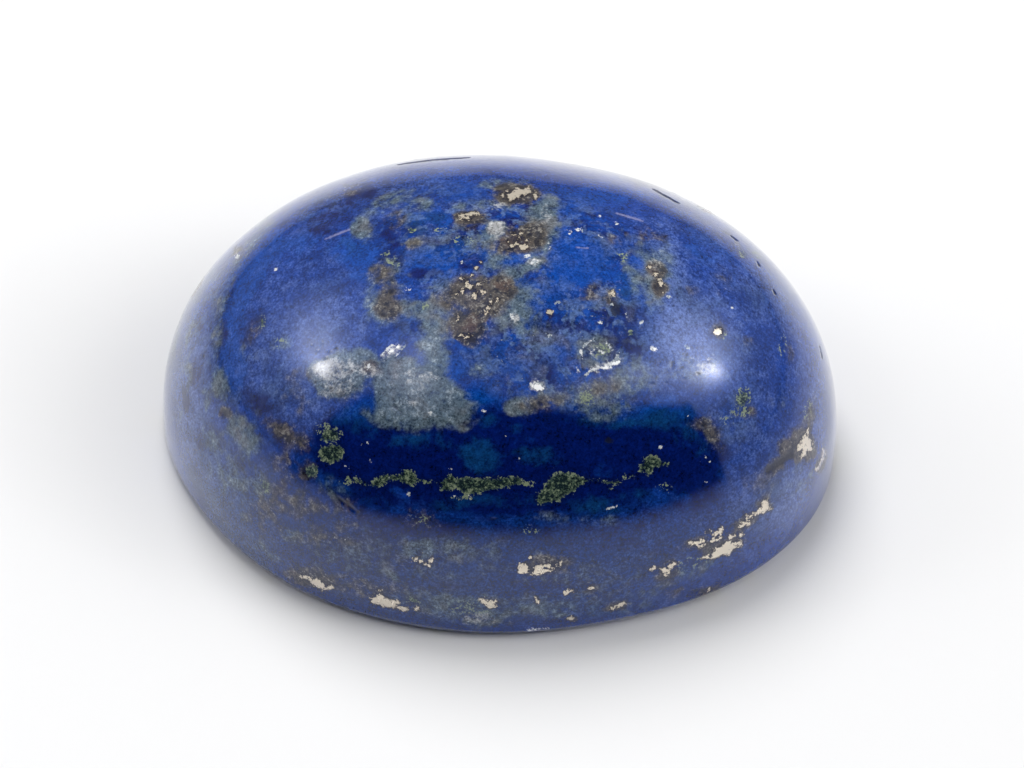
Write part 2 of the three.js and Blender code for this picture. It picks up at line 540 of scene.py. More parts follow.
M.patch("pyrite", [(480, 600), (484, 599), (490, 602), (496, 602), (496, 607), (490, 609), (485, 605)])
M.line("pyrite", [(536, 598, 0.8), (537, 602, 1.1)])
M.patch("pyrite", [(312, 580), (317, 579), (320, 581), (326, 586), (323, 589), (318, 588), (313, 583)])
M.line("pyrite", [(302, 577, 0.8), (310, 579, 1.0), (314, 582, 1.3)])
M.line("pyrite", [(322, 590, 1.0), (332, 587, 0.8)])
M.patch("pyrite", [(371, 598), (377, 595), (381, 594), (384, 597), (388, 599), (392, 602), (398, 605), (397, 608), (390, 607), (380, 604), (371, 603), (373, 600)])
M.line("pyrite", [(392, 603, 1.2), (399, 607, 1.1), (407, 609, 1.1)])
M.line("pyrite", [(384, 597, 1.1), (392, 601, 1.0), (398, 603, 0.9)])
for x, y, a, b, d in [(417, 557, 2.2, 1.1, -40), (420, 562, 1.3, 1.0, 0), (427, 564, 2.2, 1.2, 20), (431, 561, 1.2, 2.0, 30), (417, 609, 1.3, 1.1, 0), (380, 590, 1.0, 0.8, 0)]:
    M.grain("pyrite", x, y, a, b, d)
M.grain("pyrite", 660.5, 284, 1.7, 4.0, -15)
M.grain("pyrite", 656, 287, 1.2)
M.grain("pyrite", 649, 267, 1.3)
M.grain("pyrite", 655, 274, 1.2)
M.grain("pyrite", 612.5, 292.5, 2.4, 2.4)
M.grain("pyrite", 550, 313, 1.6, 2.4, -20)

# ---- white and cream calcite grains, and painted highlights on the glints -------------
# Most are calcite grains; (538, 386), (531, 384) and (653, 349) sit on glints, and their white is painted highlight.
for x, y, a, b, d in [
    (578, 230, 1.8, 1.2, 0), (571, 232, 2.0, 1.3, -20), (583, 231, 1.2, 1.0, 0),
    (612, 304.5, 2.1, 2.1, 0), (557.5, 302.5, 3.2, 1.5, -10), (549, 335, 2.2, 2.0, 0), (512, 317, 2.2, 3.0, -20),
    (410, 290, 2.4, 1.2, 0), (534, 262, 3.2, 2.4, 10), (528, 255, 2.4, 1.3, -20), (549, 243, 1.4, 1.6, 0), (550, 248, 1.2, 1.4, 0),
    (600, 216, 1.3, 1.1, 0), (617, 224, 1.5, 1.2, 0), (600, 236, 1.5, 1.1, 0), (538, 386, 6.0, 4.4, 20), (531, 384, 2.6, 1.6, 10),
    (653, 349, 3.2, 2.2, 10), (688, 347, 2.0, 1.6, 0), (389, 478, 1.7, 1.3, 0), (505, 436, 2.2, 2.0, 0),
    (519, 457, 1.4, 4.2, 18), (451, 469, 1.6, 1.6, 0), (370, 459, 1.1, 1.6, 0), (362, 444, 1.1, 1.1, 0), (367, 443, 2.3, 1.1, -15),
    (660, 447, 1.6, 1.4, 0), (703, 450, 1.2, 1.1, 0), (700, 464, 1.6, 1.3, 0), (706, 458, 1.4, 1.2, 0), (710, 462, 1.2, 1.0, 0), (705, 482, 1.7, 1.3, 0), (702, 472, 1.4, 1.2, 0),
    (368, 367, 1.8, 4.0, 15), (276, 269, 1.6, 1.8, -30), (668, 297, 1.4, 1.2, 0), (724, 290, 1.0, 1.2, 0), (732, 307, 0.9, 0.9, 0),
    (688, 416, 1.7, 1.1, 0), (457, 497, 3.2, 1.3, 0), (470, 497, 1.2, 1.6, 0), (409, 494, 1.6, 1.8, 0), (617, 506, 1.2, 1.2, 0), (610, 508, 3.8, 1.1, -10),
    (350, 467, 1.4, 1.1, 0), (345, 466, 1.2, 1.0, 0), (237, 256, 2.2, 1.6, -50), (226, 449, 1.0, 1.6, 60),
    (462, 262, 1.2, 1.0, 0), (601, 323, 2.6, 1.6, 10), (592, 316, 1.4, 1.0, 0), (626, 315, 1.2, 1.4, 0), (642, 322, 1.2, 1.0, 0), (547, 302, 1.8, 0.9, 0),
    (334, 537.5, 1.3, 1.1, 0), (344.5, 539.5, 1.4, 1.2, 0), (430, 413, 1.0, 1.0, 0), (484, 411, 1.8, 1.0, 10),
]:
    if y > 400:
        a, b = a * 0.62, b * 0.62
    M.grain("white", x, y, a, b, d)
# painted highlights: pure white spots where the softboxes glint in the polish, and a thin line where the bottom arris
# catches the light
M.grain("painted_highlight", 538, 387, 5.0, 3.2, 20)
M.grain("painted_highlight", 615, 363.5, 5.0, 1.8, -20)
M.grain("painted_highlight", 606, 367.5, 3.4, 1.4, -15)
M.grain("painted_highlight", 391, 351, 3.0, 1.5, -35)
M.grain("painted_highlight", 386, 356, 1.4, 1.2)
M.grain("painted_highlight", 397, 346, 1.6, 1.2)
M.grain("painted_highlight", 655, 349, 1.6, 1.2)
M.line("painted_highlight", [(529, 630.4, 0.4), (538, 629.3, 0.75), (549, 627.8, 0.5)])
# The thin white strokes below are painted highlights: the bright streaks of the glints at (376–406, 344–363) and
# (577–619, 339–375).
M.line("white", [(585, 375, 1.2), (592, 370, 1.2), (600, 368, 1.6), (609, 365, 2.6), (617, 362, 3.4)])
M.line("white", [(614, 360, 1.4), (619, 354, 1.0)])
M.line("white", [(583, 359, 0.7), (581, 351, 0.8), (586, 343, 0.8), (595, 339, 0.7)])
M.line("white", [(600, 340, 0.6), (608, 343, 0.8), (612, 350, 0.6)])
M.line("white", [(590, 353, 0.6), (597, 348, 0.7), (603, 353, 0.6)])
M.line("white", [(380, 358, 0.8), (386, 349, 0.9), (393, 345, 0.7)])
M.line("white", [(395, 357, 0.7), (402, 350, 0.9), (406, 344, 0.7)])
M.line("white", [(376, 363, 0.6), (384, 361, 0.8)])
M.line("white", [(577, 368, 1.2), (579, 373, 1.3)])
# Pale speckle; the clouds at (523, 378) and (390, 352) lie on glints, and there the speckle is painted highlight.
M.cloud("salt", 573, 231, 13, 4, -5, 1.00, 0.4)
M.cloud("salt", 523, 378, 18, 8, 0, 0.64, 0.4)
M.cloud("salt", 390, 352, 14, 5, -30, 1.00, 0.4)

# ---- green diopside: the broken vein across the front and its specks -------------------
M.line("green", [(347, 478, 1.5), (356, 480.5, 2.2), (366, 484, 2.2)])
M.patch("green", [(370, 485), (376, 478), (385, 474), (391, 475), (399, 474), (403, 470), (409, 469), (414, 472), (417, 478), (425, 480), (431, 482), (430, 485), (423, 483), (417, 482), (413, 486), (405, 485), (398, 481), (389, 481), (384, 486), (377, 488), (372, 488)])
M.patch("green", [(436, 483), (443, 480), (448, 475), (453, 475), (456, 479), (459, 478), (466, 476), (474, 478), (486, 478), (499, 478), (508, 477), (519, 477), (522, 481), (523, 485), (514, 487), (504, 488), (494, 491), (484, 492), (473, 495), (463, 494), (456, 488), (447, 493), (441, 491), (440, 487)])
M.patch("green", [(536, 502), (536, 497), (541, 491), (546, 484), (551, 477), (558, 473), (566, 472), (574, 473), (581, 477), (591, 479), (600, 480), (606, 483), (597, 483), (589, 482), (581, 486), (574, 492), (565, 496), (560, 501), (552, 503), (545, 504), (540, 506)])
M.line("green", [(600, 481, 1.2), (609, 483, 2.2), (618, 482, 2.4)])
M.grain("green", 625, 477, 1.6, 1.2)
M.grain("green", 632, 476, 1.8, 1.6)
M.grain("green", 610, 488, 2.0, 1.4)
M.patch("green", [(639, 471), (640, 464), (645, 458), (651, 455), (657, 456), (660, 460), (666, 462), (672, 463), (670, 466), (661, 467), (655, 469), (651, 473), (648, 476), (645, 472), (641, 474)])
M.cloud("leafy", 665, 488, 8, 3, -10, 1.00, 0.4)
M.cloud("leafy", 526, 483, 9, 3, 0, 1.00, 0.4)
M.cloud("leafy", 463, 498, 12, 2.5, 0, 1.00, 0.4)
M.cloud("leafy", 348, 482, 8, 3, 10, 1.00, 0.4)
# the round blob at the window's left end, in two lobes
M.patch("green", [(319, 440), (321, 434), (326, 430), (333, 428), (338, 431), (340, 437), (336, 441), (328, 442)])
M.patch("green", [(318, 452), (321, 447), (330, 445), (339, 444), (344, 449), (343, 456), (338, 462), (328, 464), (320, 460)])
M.patch("green", [(303, 473), (306, 468), (312, 464), (318, 466), (319, 472), (315, 477), (308, 478)])
M.cloud("leafy", 328, 433, 15, 8, 20, 1.00, 0.4)
# specks elsewhere
M.grain("green", 386, 254, 2.6, 1.8, -20)
M.grain("green", 412, 230, 4.0, 2.6, -15)
M.grain("green", 262, 322, 3.0, 5.2, 10)
M.cloud("leafy", 440, 229, 14, 4, 0, 0.55, 0.5)
M.cloud("leafy", 462, 240, 12, 5, 0, 0.55, 0.5)
M.cloud("leafy", 622, 257, 7, 5, 0, 0.6, 0.5)
M.grain("green", 631, 333, 3.2, 2.6)
M.grain("green", 742, 254, 3.6, 2.4, 35)
M.grain("green", 743, 399, 6.0, 8.5, 15)
M.cloud("leafy", 743, 396, 9, 9, 0, 1.00, 0.4)
M.cloud("leafy", 741, 411, 10, 6, 0, 1.00, 0.4)
M.cloud("leafy", 728, 421, 10, 6, 20, 0.45, 0.5)
M.grain("green", 265, 486, 4.2, 5.0, -20)
M.cloud("leafy", 262, 486, 7, 10, -20, 0.55, 0.5)
M.cloud("leafy", 280, 342, 7, 6, -40, 0.6, 0.5)
M.cloud("leafy", 588, 398, 8, 8, 20, 1.00, 0.4)
M.cloud("leafy", 530, 531, 10, 4, 0, 1.00, 0.4)
M.cloud("leafy", 422, 519, 12, 5, 10, 0.6, 0.5)
M.grain("green", 413, 600, 6.0, 2.6, 20)
M.cloud("leafy", 470, 608, 26, 8, 0, 0.5, 0.5)
M.cloud("leafy", 783, 345, 4, 12, 8, 0.55, 0.5)
M.cloud("leafy", 424, 306, 6, 4, 0, 1.00, 0.4)
M.cloud("leafy", 601, 350, 9, 8, 0, 1.00, 0.4)
M.cloud("leafy", 722, 333, 4, 6, 0, 1.00, 0.4)
M.cloud("leafy", 395, 262, 10, 6, 0, 0.55, 0.5)
M.cloud("leafy", 757, 255, 12, 4, 30, 1.00, 0.4)
M.cloud("leafy", 808, 410, 5, 12, 12, 0.55, 0.5)
M.cloud("leafy", 700, 560, 34, 7, -22, 0.5, 0.5)

# ---- black and dark-brown grains ------------------------------------------------------
# Black and dark-brown grains. The small specks through the two softbox glows, at (312–362, 343–389) and (652–709,
# 345–384), mark pits in the polish: their black is painted shade where the glow breaks over them.
for x, y, a, b, d in [
    (395, 407, 3.4, 2.4, 30), (400, 411, 2.2, 1.8, 0), (384, 392, 1.1, 1.0, 0), (608, 440, 4.2, 3.6, 0), (748, 340, 1.6, 1.4, 0),
    (392, 291, 3.0, 3.6, 20), (388, 306, 1.8, 3.4, 10), (383, 314, 3.6, 2.6, 20), (616, 309, 6.0, 7.5, 0), (539, 404, 2.2, 2.4, 0), (352, 508, 5.0, 1.8, 40), (341, 500, 4.0, 1.4, 42),
    (309, 471, 5.5, 5.5, 0), (224, 413, 3.6, 3.2, 0), (722, 277, 1.5, 1.2, 0), (494, 519, 3.0, 1.0, 0), (695, 591, 3.6, 1.6, -20),
    (672, 365, 1.6, 4.6, 5), (655, 377, 1.4, 2.6, 0), (668, 372, 1.2, 1.1, 0), (681, 368, 2.6, 1.1, -30), (676, 373, 2.4, 1.0, -30), (690, 362, 1.3, 1.0, 0), (700, 352, 1.3, 1.0, 0),
    (660, 362, 1.3, 1.3, 0), (684, 379, 1.8, 1.0, 0), (652, 384, 2.2, 1.1, 0), (694, 345, 1.1, 1.0, 0), (666, 383, 1.3, 1.0, 0), (698, 374, 1.1, 1.0, 0), (709, 361, 1.2, 0.9, 0), (686, 355, 1.2, 0.9, 0),
    (322, 343, 1.3, 0.9, -40), (330, 352, 1.4, 0.9, -40), (318, 351, 1.2, 0.8, -40), (326, 358, 1.2, 0.8, -40), (312, 345, 1.1, 0.8, -40), (337, 348, 1.2, 0.8, -40),
    (350, 372, 1.2, 1.0, 0), (345, 383, 1.4, 1.1, 0), (331, 389, 1.3, 1.0, 0), (357, 388, 1.5, 1.1, 0), (316, 383, 1.2, 1.0, 0), (362, 377, 1.2, 1.2, 0),
    (195, 330, 1.2, 1.0, 0), (204, 356, 1.1, 1.3, 0), (189, 372, 1.1, 1.0, 0), (200, 392, 1.3, 1.0, 0), (185, 410, 1.0, 1.3, 0), (208, 425, 1.1, 1.0, 0), (215, 300, 1.2, 0.9, 0), (196, 450, 1.2, 1.0, 0),
    (241, 505, 1.6, 1.0, 30), (260, 528, 1.4, 1.2, 0), (285, 512, 1.5, 1.1, 0), (318, 547, 1.6, 1.1, 0), (345, 560, 1.5, 1.0, 0), (296, 555, 1.4, 1.0, 20), (372, 547, 1.3, 1.0, 0), (703, 426, 2.4, 1.8, 0), (745, 412, 5.0, 2.5, 0),
]:
    M.grain("dark", x, y, a, b, d)
M.line("slit", [(398, 164.5, 0.8), (408, 162.8, 1.3), (416, 161.9, 1.0), (426, 160.4, 1.5), (434, 159.4, 1.2), (443, 158.9, 1.6), (452, 158.1, 1.1), (461, 157.8, 1.3), (470, 157.1, 0.7)])
M.line("slit", [(653, 189.3, 0.7), (657, 191.2, 1.2), (661, 193.7, 0.9), (665, 195.9, 1.3), (670, 198.4, 0.9), (674, 201.1, 1.1), (679, 203.2, 0.6)])
for x, y, q, w in [(731, 236, 737, 241), (757, 262, 759, 266), (773, 290, 775, 294), (820, 346, 822, 358), (188, 257, 195, 248), (203, 238, 213, 230), (171, 302, 177, 290), (334, 178, 342, 174), (350, 172, 357, 169)]:
    M.line("slit", [(x, y, 0.5), (q, w, 0.8)])
M.line("dark", [(790, 455, 3.5), (777, 464, 3.0), (767, 471, 3.0)])
M.line("dark", [(452, 486, 1.0), (466, 479, 1.5), (486, 480, 1.7), (505, 479, 1.9), (516, 479, 1.5)])
M.line("dark", [(552, 481, 1.6), (562, 475, 1.8), (573, 475, 1.2)])
# Dark speckle; the clouds at (345, 385) and (690, 385) lie on the softbox glows, where the specks stand for pits and
# their black is painted shade.
M.cloud("pepper", 440, 470, 9, 5, 0, 1.00, 0.4)
M.cloud("pepper", 520, 400, 22, 9, 0, 0.74, 0.4)
M.cloud("pepper", 618, 350, 14, 10, 0, 0.65, 0.4)
M.cloud("pepper", 473, 283, 24, 22, 0, 1.00, 0.4)
M.cloud("pepper", 519, 240, 20, 14, 0, 1.00, 0.4)
M.cloud("pepper", 620, 325, 22, 22, 0, 0.82, 0.4)
M.cloud("pepper", 725, 545, 26, 9, -20, 0.62, 0.4)
M.cloud("pepper", 305, 574, 22, 8, 10, 0.96, 0.4)
M.cloud("pepper", 345, 385, 30, 22, 0, 0.45, 0.4)
M.cloud("pepper", 200, 400, 26, 120, -10, 0.45, 0.4)
M.cloud("pepper", 690, 385, 50, 25, 0, 0.45, 0.4)

# ---- thin bright scratches ------------------------------------------------------------
M.line("scratch", [(325, 239, 0.6), (337, 234, 1.0), (350, 229, 0.8)])
M.line("scratch", [(616, 213, 0.7), (630, 217, 1.1), (643, 221, 0.7)])
M.line("scratch", [(576, 247, 0.5), (588, 248, 0.7)])

# ---- calcite clouds: grey-white, granular ---------------------------------------------
for x, y, a, b, d, much, soft in [
    (340, 376, 29, 22, -20, 0.95, 0.35), (325, 368, 16, 9, -20, 0.9, 0.5), (360, 362, 24, 14, 0, 0.8, 0.4),
    (418, 398, 42, 27, 0, 1.0, 0.28), (395, 375, 26, 20, 0, 0.9, 0.4), (436, 362, 13, 20, 15, 0.75, 0.45), (402, 420, 26, 12, 10, 0.85, 0.35),
    (452, 412, 24, 18, 0, 0.7, 0.45), (428, 345, 12, 12, 0, 0.6, 0.5), (372, 415, 12, 8, 20, 0.5, 0.5),
    (361, 227, 11, 10, 0, 0.75, 0.35), (385, 205, 26, 8, -22, 0.35, 0.6), (427, 207, 9, 5, 0, 0.5, 0.6), (395, 195, 24, 5, -15, 0.25, 0.7),
    (486, 184, 7, 4, 10, 0.6, 0.5), (546, 215, 9, 20, 15, 0.7, 0.5), (556, 202, 16, 6, 10, 0.35, 0.6), (504, 203, 14, 6, 0, 0.5, 0.5),
    (495, 230, 11, 9, 0, 0.95, 0.5), (490, 240, 10, 8, 0, 0.6, 0.5), (540, 235, 16, 12, 0, 0.5, 0.5), (413, 242, 12, 5, 0, 0.5, 0.5), (505, 186, 26, 10, 0, 0.45, 0.5),
    (517, 272, 26, 6, -24, 0.8, 0.45), (534, 262, 8, 5, 0, 0.7, 0.5), (414, 308, 18, 9, 0, 0.6, 0.45), (443, 300, 18, 7, -20, 0.5, 0.5), (437, 330, 18, 9, 25, 0.5, 0.45),
    (520, 307, 22, 10, 0, 0.35, 0.6), (512, 318, 6, 8, 0, 0.45, 0.5), (388, 270, 14, 12, 0, 0.25, 0.6), (375, 300, 12, 20, 0, 0.3, 0.6),
    (658, 272, 14, 20, 15, 0.55, 0.45), (640, 285, 16, 10, 30, 0.45, 0.5), (650, 255, 12, 7, 20, 0.5, 0.5), (655, 305, 10, 12, 0, 0.4, 0.5), (632, 270, 8, 18, -30, 0.4, 0.5),
    (594, 352, 19, 17, 0, 0.6, 0.35), (612, 388, 38, 14, -6, 0.5, 0.45), (637, 372, 22, 14, -20, 0.5, 0.5), (605, 411, 30, 10, 0, 0.6, 0.45), (570, 395, 18, 10, 0, 0.5, 0.5),
    (520, 407, 17, 9, 0, 0.65, 0.45), (548, 398, 20, 8, 0, 0.45, 0.5), (505, 355, 24, 16, 0, 0.12, 0.7), (540, 350, 20, 12, 0, 0.1, 0.7), (480, 372, 12, 8, 0, 0.45, 0.5),
    (505, 300, 32, 22, -10, 0.6, 0.5), (498, 262, 18, 11, 20, 0.65, 0.5), (540, 225, 18, 26, 10, 0.65, 0.5), (520, 322, 28, 12, 10, 0.5, 0.5), (448, 320, 30, 12, -10, 0.55, 0.5), (480, 240, 20, 9, -10, 0.4, 0.5), (472, 205, 22, 7, 0, 0.4, 0.5),
    (384, 292, 20, 30, 0, 0.34, 0.6), (376, 312, 16, 10, 0, 0.4, 0.5),
    (200, 296, 7, 18, 25, 0.34, 0.6), (186, 372, 6, 26, 3, 0.3, 0.6), (206, 398, 5, 14, -8, 0.42, 0.5), (178, 420, 6, 16, -5, 0.3, 0.6), (212, 440, 8, 16, -25, 0.34, 0.6), (190, 330, 7, 14, 10, 0.3, 0.6),
    (230, 474, 8, 18, -35, 0.3, 0.6), (262, 548, 20, 6, 40, 0.34, 0.6), (245, 520, 10, 6, 30, 0.3, 0.6),
    (678, 366, 14, 12, 0, 0.35, 0.6), (700, 370, 30, 12, 0, 0.25, 0.7), (708, 430, 5, 12, -10, 0.55, 0.5),
    (220, 385, 9, 15, -5, 0.7, 0.4), (240, 430, 12, 20, -40, 0.55, 0.45), (252, 446, 10, 9, 0, 0.5, 0.5), (248, 352, 12, 10, 0, 0.2, 0.6), (281, 343, 12, 8, 0, 0.35, 0.5),
    (418, 549, 17, 10, 0, 0.6, 0.28), (292, 534, 11, 6, 0, 0.45, 0.4), (455, 547, 14, 9, 0, 0.3, 0.5), (492, 549, 9, 6, 0, 0.3, 0.5), (552, 517, 20, 6, 8, 0.35, 0.6),
    (600, 520, 20, 6, 0, 0.3, 0.6), (480, 618, 32, 11, 0, 0.6, 0.5), (460, 601, 34, 5, 4, 0.35, 0.6), (380, 571, 14, 4, 15, 0.35, 0.5), (395, 578, 12, 3, 35, 0.4, 0.5),
    (560, 612, 30, 8, 0, 0.3, 0.6), (640, 600, 30, 10, -20, 0.25, 0.6), (690, 575, 30, 7, -24, 0.3, 0.5), (330, 520, 26, 14, 0, 0.2, 0.7), (300, 500, 20, 14, 0, 0.2, 0.7),
    (262, 488, 8, 14, -20, 0.5, 0.5), (335, 490, 16, 10, 30, 0.3, 0.6), (800, 480, 14, 20, 20, 0.25, 0.6), (785, 400, 10, 30, 5, 0.15, 0.7),
]:
    M.cloud("calcite", x, y, a, b, d, much, soft)
M.band("calcite", [(272, 222, 5), (250, 243, 6), (236, 262, 5), (222, 300, 5), (215, 345, 6), (213, 375, 8)], 0.3, 0.6)
M.band("calcite", [(640, 245, 6), (655, 262, 8), (664, 290, 7)], 0.3, 0.6)

# ---- grey-blue haze: pale clouds in the rock, and painted sheen of the tent in the polish - ---
# These lie on the two softbox glows, along the rims and over the front below the dark window: there the grey-blue is
# painted sheen, the tent's reflection in the polish, with some pale cloud of the rock in the upper middle.
for x, y, a, b, d, much, soft in [
    (300, 310, 60, 76, 15, 0.22, 0.6), (330, 330, 40, 34, 0, 0.3, 0.7), (260, 370, 44, 40, 0, 0.25, 0.6), (300, 400, 40, 30, 0, 0.3, 0.6),
    (690, 340, 50, 46, 0, 0.35, 0.6), (730, 310, 44, 60, 20, 0.2, 0.7), (650, 230, 26, 16, 20, 0.3, 0.6), (670, 260, 14, 30, 0, 0.35, 0.6),
    (340, 200, 50, 16, -30, 0.35, 0.7), (410, 185, 50, 12, -12, 0.3, 0.7),
    (400, 580, 90, 26, 8, 0.12, 0.7), (520, 590, 120, 24, 0, 0.15, 0.7), (650, 560, 80, 22, -18, 0.2, 0.7), (760, 500, 34, 60, 25, 0.35, 0.7),
    (350, 540, 90, 26, 12, 0.15, 0.7), (250, 520, 50, 26, 45, 0.2, 0.7), (220, 470, 30, 50, -30, 0.3, 0.7), (190, 380, 24, 70, 0, 0.35, 0.7),
    (545, 330, 30, 20, 0, 0.3, 0.6), (480, 215, 20, 8, 0, 0.4, 0.6), (440, 215, 22, 8, 0, 0.3, 0.6), (570, 310, 20, 12, 0, 0.3, 0.6),
]:
    M.cloud("haze_and_sheen", x, y, a, b, d, much, soft)

# Bands along the rims and the bottom edge, and the right glow: painted sheen, the bright tent's reflection in the
# polish at grazing angles.
for x, y, a, b, d, much, soft in [
    (186, 380, 20, 100, 3, 0.55, 0.6), (215, 270, 30, 14, -45, 0.5, 0.6), (262, 215, 34, 10, -33, 0.5, 0.7), (205, 480, 22, 44, -30, 0.55, 0.6), (240, 545, 40, 14, 40, 0.45, 0.7),
    (806, 350, 16, 80, -10, 0.25, 0.6), (822, 420, 14, 60, 8, 0.35, 0.6), (770, 290, 34, 18, 50, 0.4, 0.7), (790, 500, 26, 34, 30, 0.5, 0.7), (745, 400, 26, 50, 0, 0.35, 0.7),
    (700, 225, 44, 10, 30, 0.3, 0.7), (700, 270, 44, 44, 0, 0.2, 0.7), (690, 350, 36, 36, 0, 0.3, 0.6),
    (600, 360, 90, 30, 0, 0.2, 0.7), (480, 612, 140, 12, 3, 0.2, 0.7), (620, 608, 70, 8, -10, 0.3, 0.7),
]:
    M.cloud("haze_and_sheen", x, y, a, b, d, much, soft)

# Pale clouds in the rock across the upper middle; those from y 330 to 380 lie in the bright band above the dark window,
# where they are partly painted sheen.
for x, y, a, b, d, much, soft in [
    (668, 298, 24, 52, -14, 0.6, 0.4), (655, 262, 18, 22, 20, 0.4, 0.5),
    (478, 203, 26, 8, -6, 0.6, 0.5), (455, 212, 12, 6, 0, 0.5, 0.5), (486, 232, 16, 12, 0, 0.6, 0.5), (552, 228, 14, 26, 10, 0.65, 0.5), (612, 246, 18, 12, -20, 0.5, 0.5),
    (520, 268, 34, 8, -22, 0.6, 0.5), (552, 335, 16, 14, 0, 0.6, 0.45), (532, 345, 12, 16, 0, 0.5, 0.5), (575, 330, 14, 10, 20, 0.4, 0.5), (505, 362, 16, 12, 0, 0.45, 0.5),
    (470, 356, 10, 16, 20, 0.4, 0.5), (572, 378, 16, 14, 0, 0.5, 0.5), (500, 340, 10, 16, 0, 0.35, 0.5), (432, 232, 18, 8, 0, 0.5, 0.5), (405, 216, 22, 6, -10, 0.5, 0.5), (372, 214, 18, 7, -24, 0.5, 0.5),
    (620, 292, 16, 12, 0, 0.35, 0.5), (650, 325, 16, 22, 0, 0.5, 0.5), (436, 286, 18, 8, 0, 0.35, 0.5), (585, 250, 12, 8, 0, 0.3, 0.5), (560, 290, 16, 8, 0, 0.4, 0.5),
    (575, 320, 14, 10, 0, 0.5, 0.6), (535, 308, 10, 18, 0, 0.55, 0.6), (558, 338, 28, 20, 0, 0.34, 0.6), (480, 372, 14, 8, 0, 0.4, 0.6), (548, 362, 14, 10, 0, 0.4, 0.6),
]:
    M.cloud("haze_and_sheen", x, y, a, b, d, much, soft)
# where the ground mass is greyer, and where its colours change from grain to grain
M.cloud("front", 470, 580, 250, 52, 0, 1.0, 0.4)
M.cloud("front", 250, 520, 70, 40, 40, 0.6, 0.5)
for x, y, a, b, d, much, soft in [
    (530, 262, 118, 78, 8, 0.95, 0.3), (560, 350, 84, 50, 0, 0.9, 0.35), (430, 210, 60, 30, -15, 0.6, 0.5), (600, 395, 60, 16, 0, 0.7, 0.4),
    (440, 330, 40, 30, 0, 0.5, 0.5), (250, 500, 46, 40, 20, 0.22, 0.6), (235, 420, 26, 46, -20, 0.35, 0.5), (370, 545, 60, 20, 8, 0.35, 0.6), (735, 420, 20, 26, 10, 0.4, 0.6),
    (310, 210, 40, 14, -28, 0.3, 0.6),
]:
    M.cloud("busy", x, y, a, b, d, much, soft)
for x, y, a, b, d, much, soft in [
    (450, 560, 120, 24, 3, 0.2, 0.6), (600, 575, 80, 18, -8, 0.18, 0.6), (330, 555, 50, 18, 15, 0.25, 0.6), (470, 606, 120, 12, 3, 0.34, 0.6), (230, 470, 26, 36, -30, 0.3, 0.6),
    (365, 235, 12, 8, 0, 0.42, 0.6), (421, 206, 18, 8, -8, 0.46, 0.6), (402, 196, 16, 6, -15, 0.42, 0.6), (439, 296, 15, 12, 0, 0.42, 0.6),
    (392, 286, 18, 26, 0, 0.26, 0.6), (662, 258, 14, 18, 10, 0.38, 0.6), (526, 267, 20, 6, -20, 0.46, 0.6), (512, 300, 16, 14, 0, 0.3, 0.6),
]:
    M.cloud("calcite", x, y, a, b, d, much, soft)

# ---- chalky white cores of the calcite, and painted highlights on the glints ------------
# (324, 367), (390, 352), (538, 386), (595, 350), (604, 366), (700, 362) and (706, 368) lie on the softbox glints: there
# the chalk white is painted highlight.
for x, y, a, b, d, much, soft in [
    (496, 228, 9, 7, 0, 1.0, 0.5), (324, 367, 14, 6, -15, 0.9, 0.6), (612, 293, 4, 4, 0, 0.9, 0.5), (390, 352, 14, 5, -30, 0.6, 0.6), (538, 386, 9, 6, 20, 0.7, 0.6),
    (534, 262, 8, 4, 0, 0.6, 0.6), (706, 368, 9, 7, 0, 0.45, 0.6), (604, 366, 20, 5, -14, 0.5, 0.6), (500, 205, 12, 4, 0, 0.3, 0.6), (545, 215, 6, 12, 10, 0.35, 0.6),
    (655, 262, 7, 9, 10, 0.35, 0.6), (515, 318, 5, 6, 0, 0.5, 0.6), (480, 620, 22, 6, 0, 0.4, 0.6), (345, 380, 28, 16, -20, 0.34, 0.6), (332, 370, 22, 9, -16, 0.5, 0.6), (372, 370, 14, 8, 0, 0.3, 0.6), (700, 362, 24, 14, 0, 0.2, 0.7), (418, 375, 26, 10, 0, 0.3, 0.6),
    (595, 350, 12, 10, 0, 0.3, 0.6), (412, 398, 18, 14, 0, 0.2, 0.6), (237, 256, 3, 3, 0, 0.6, 0.5),
]:
    M.cloud("chalk", x, y, a, b, d, much, soft)

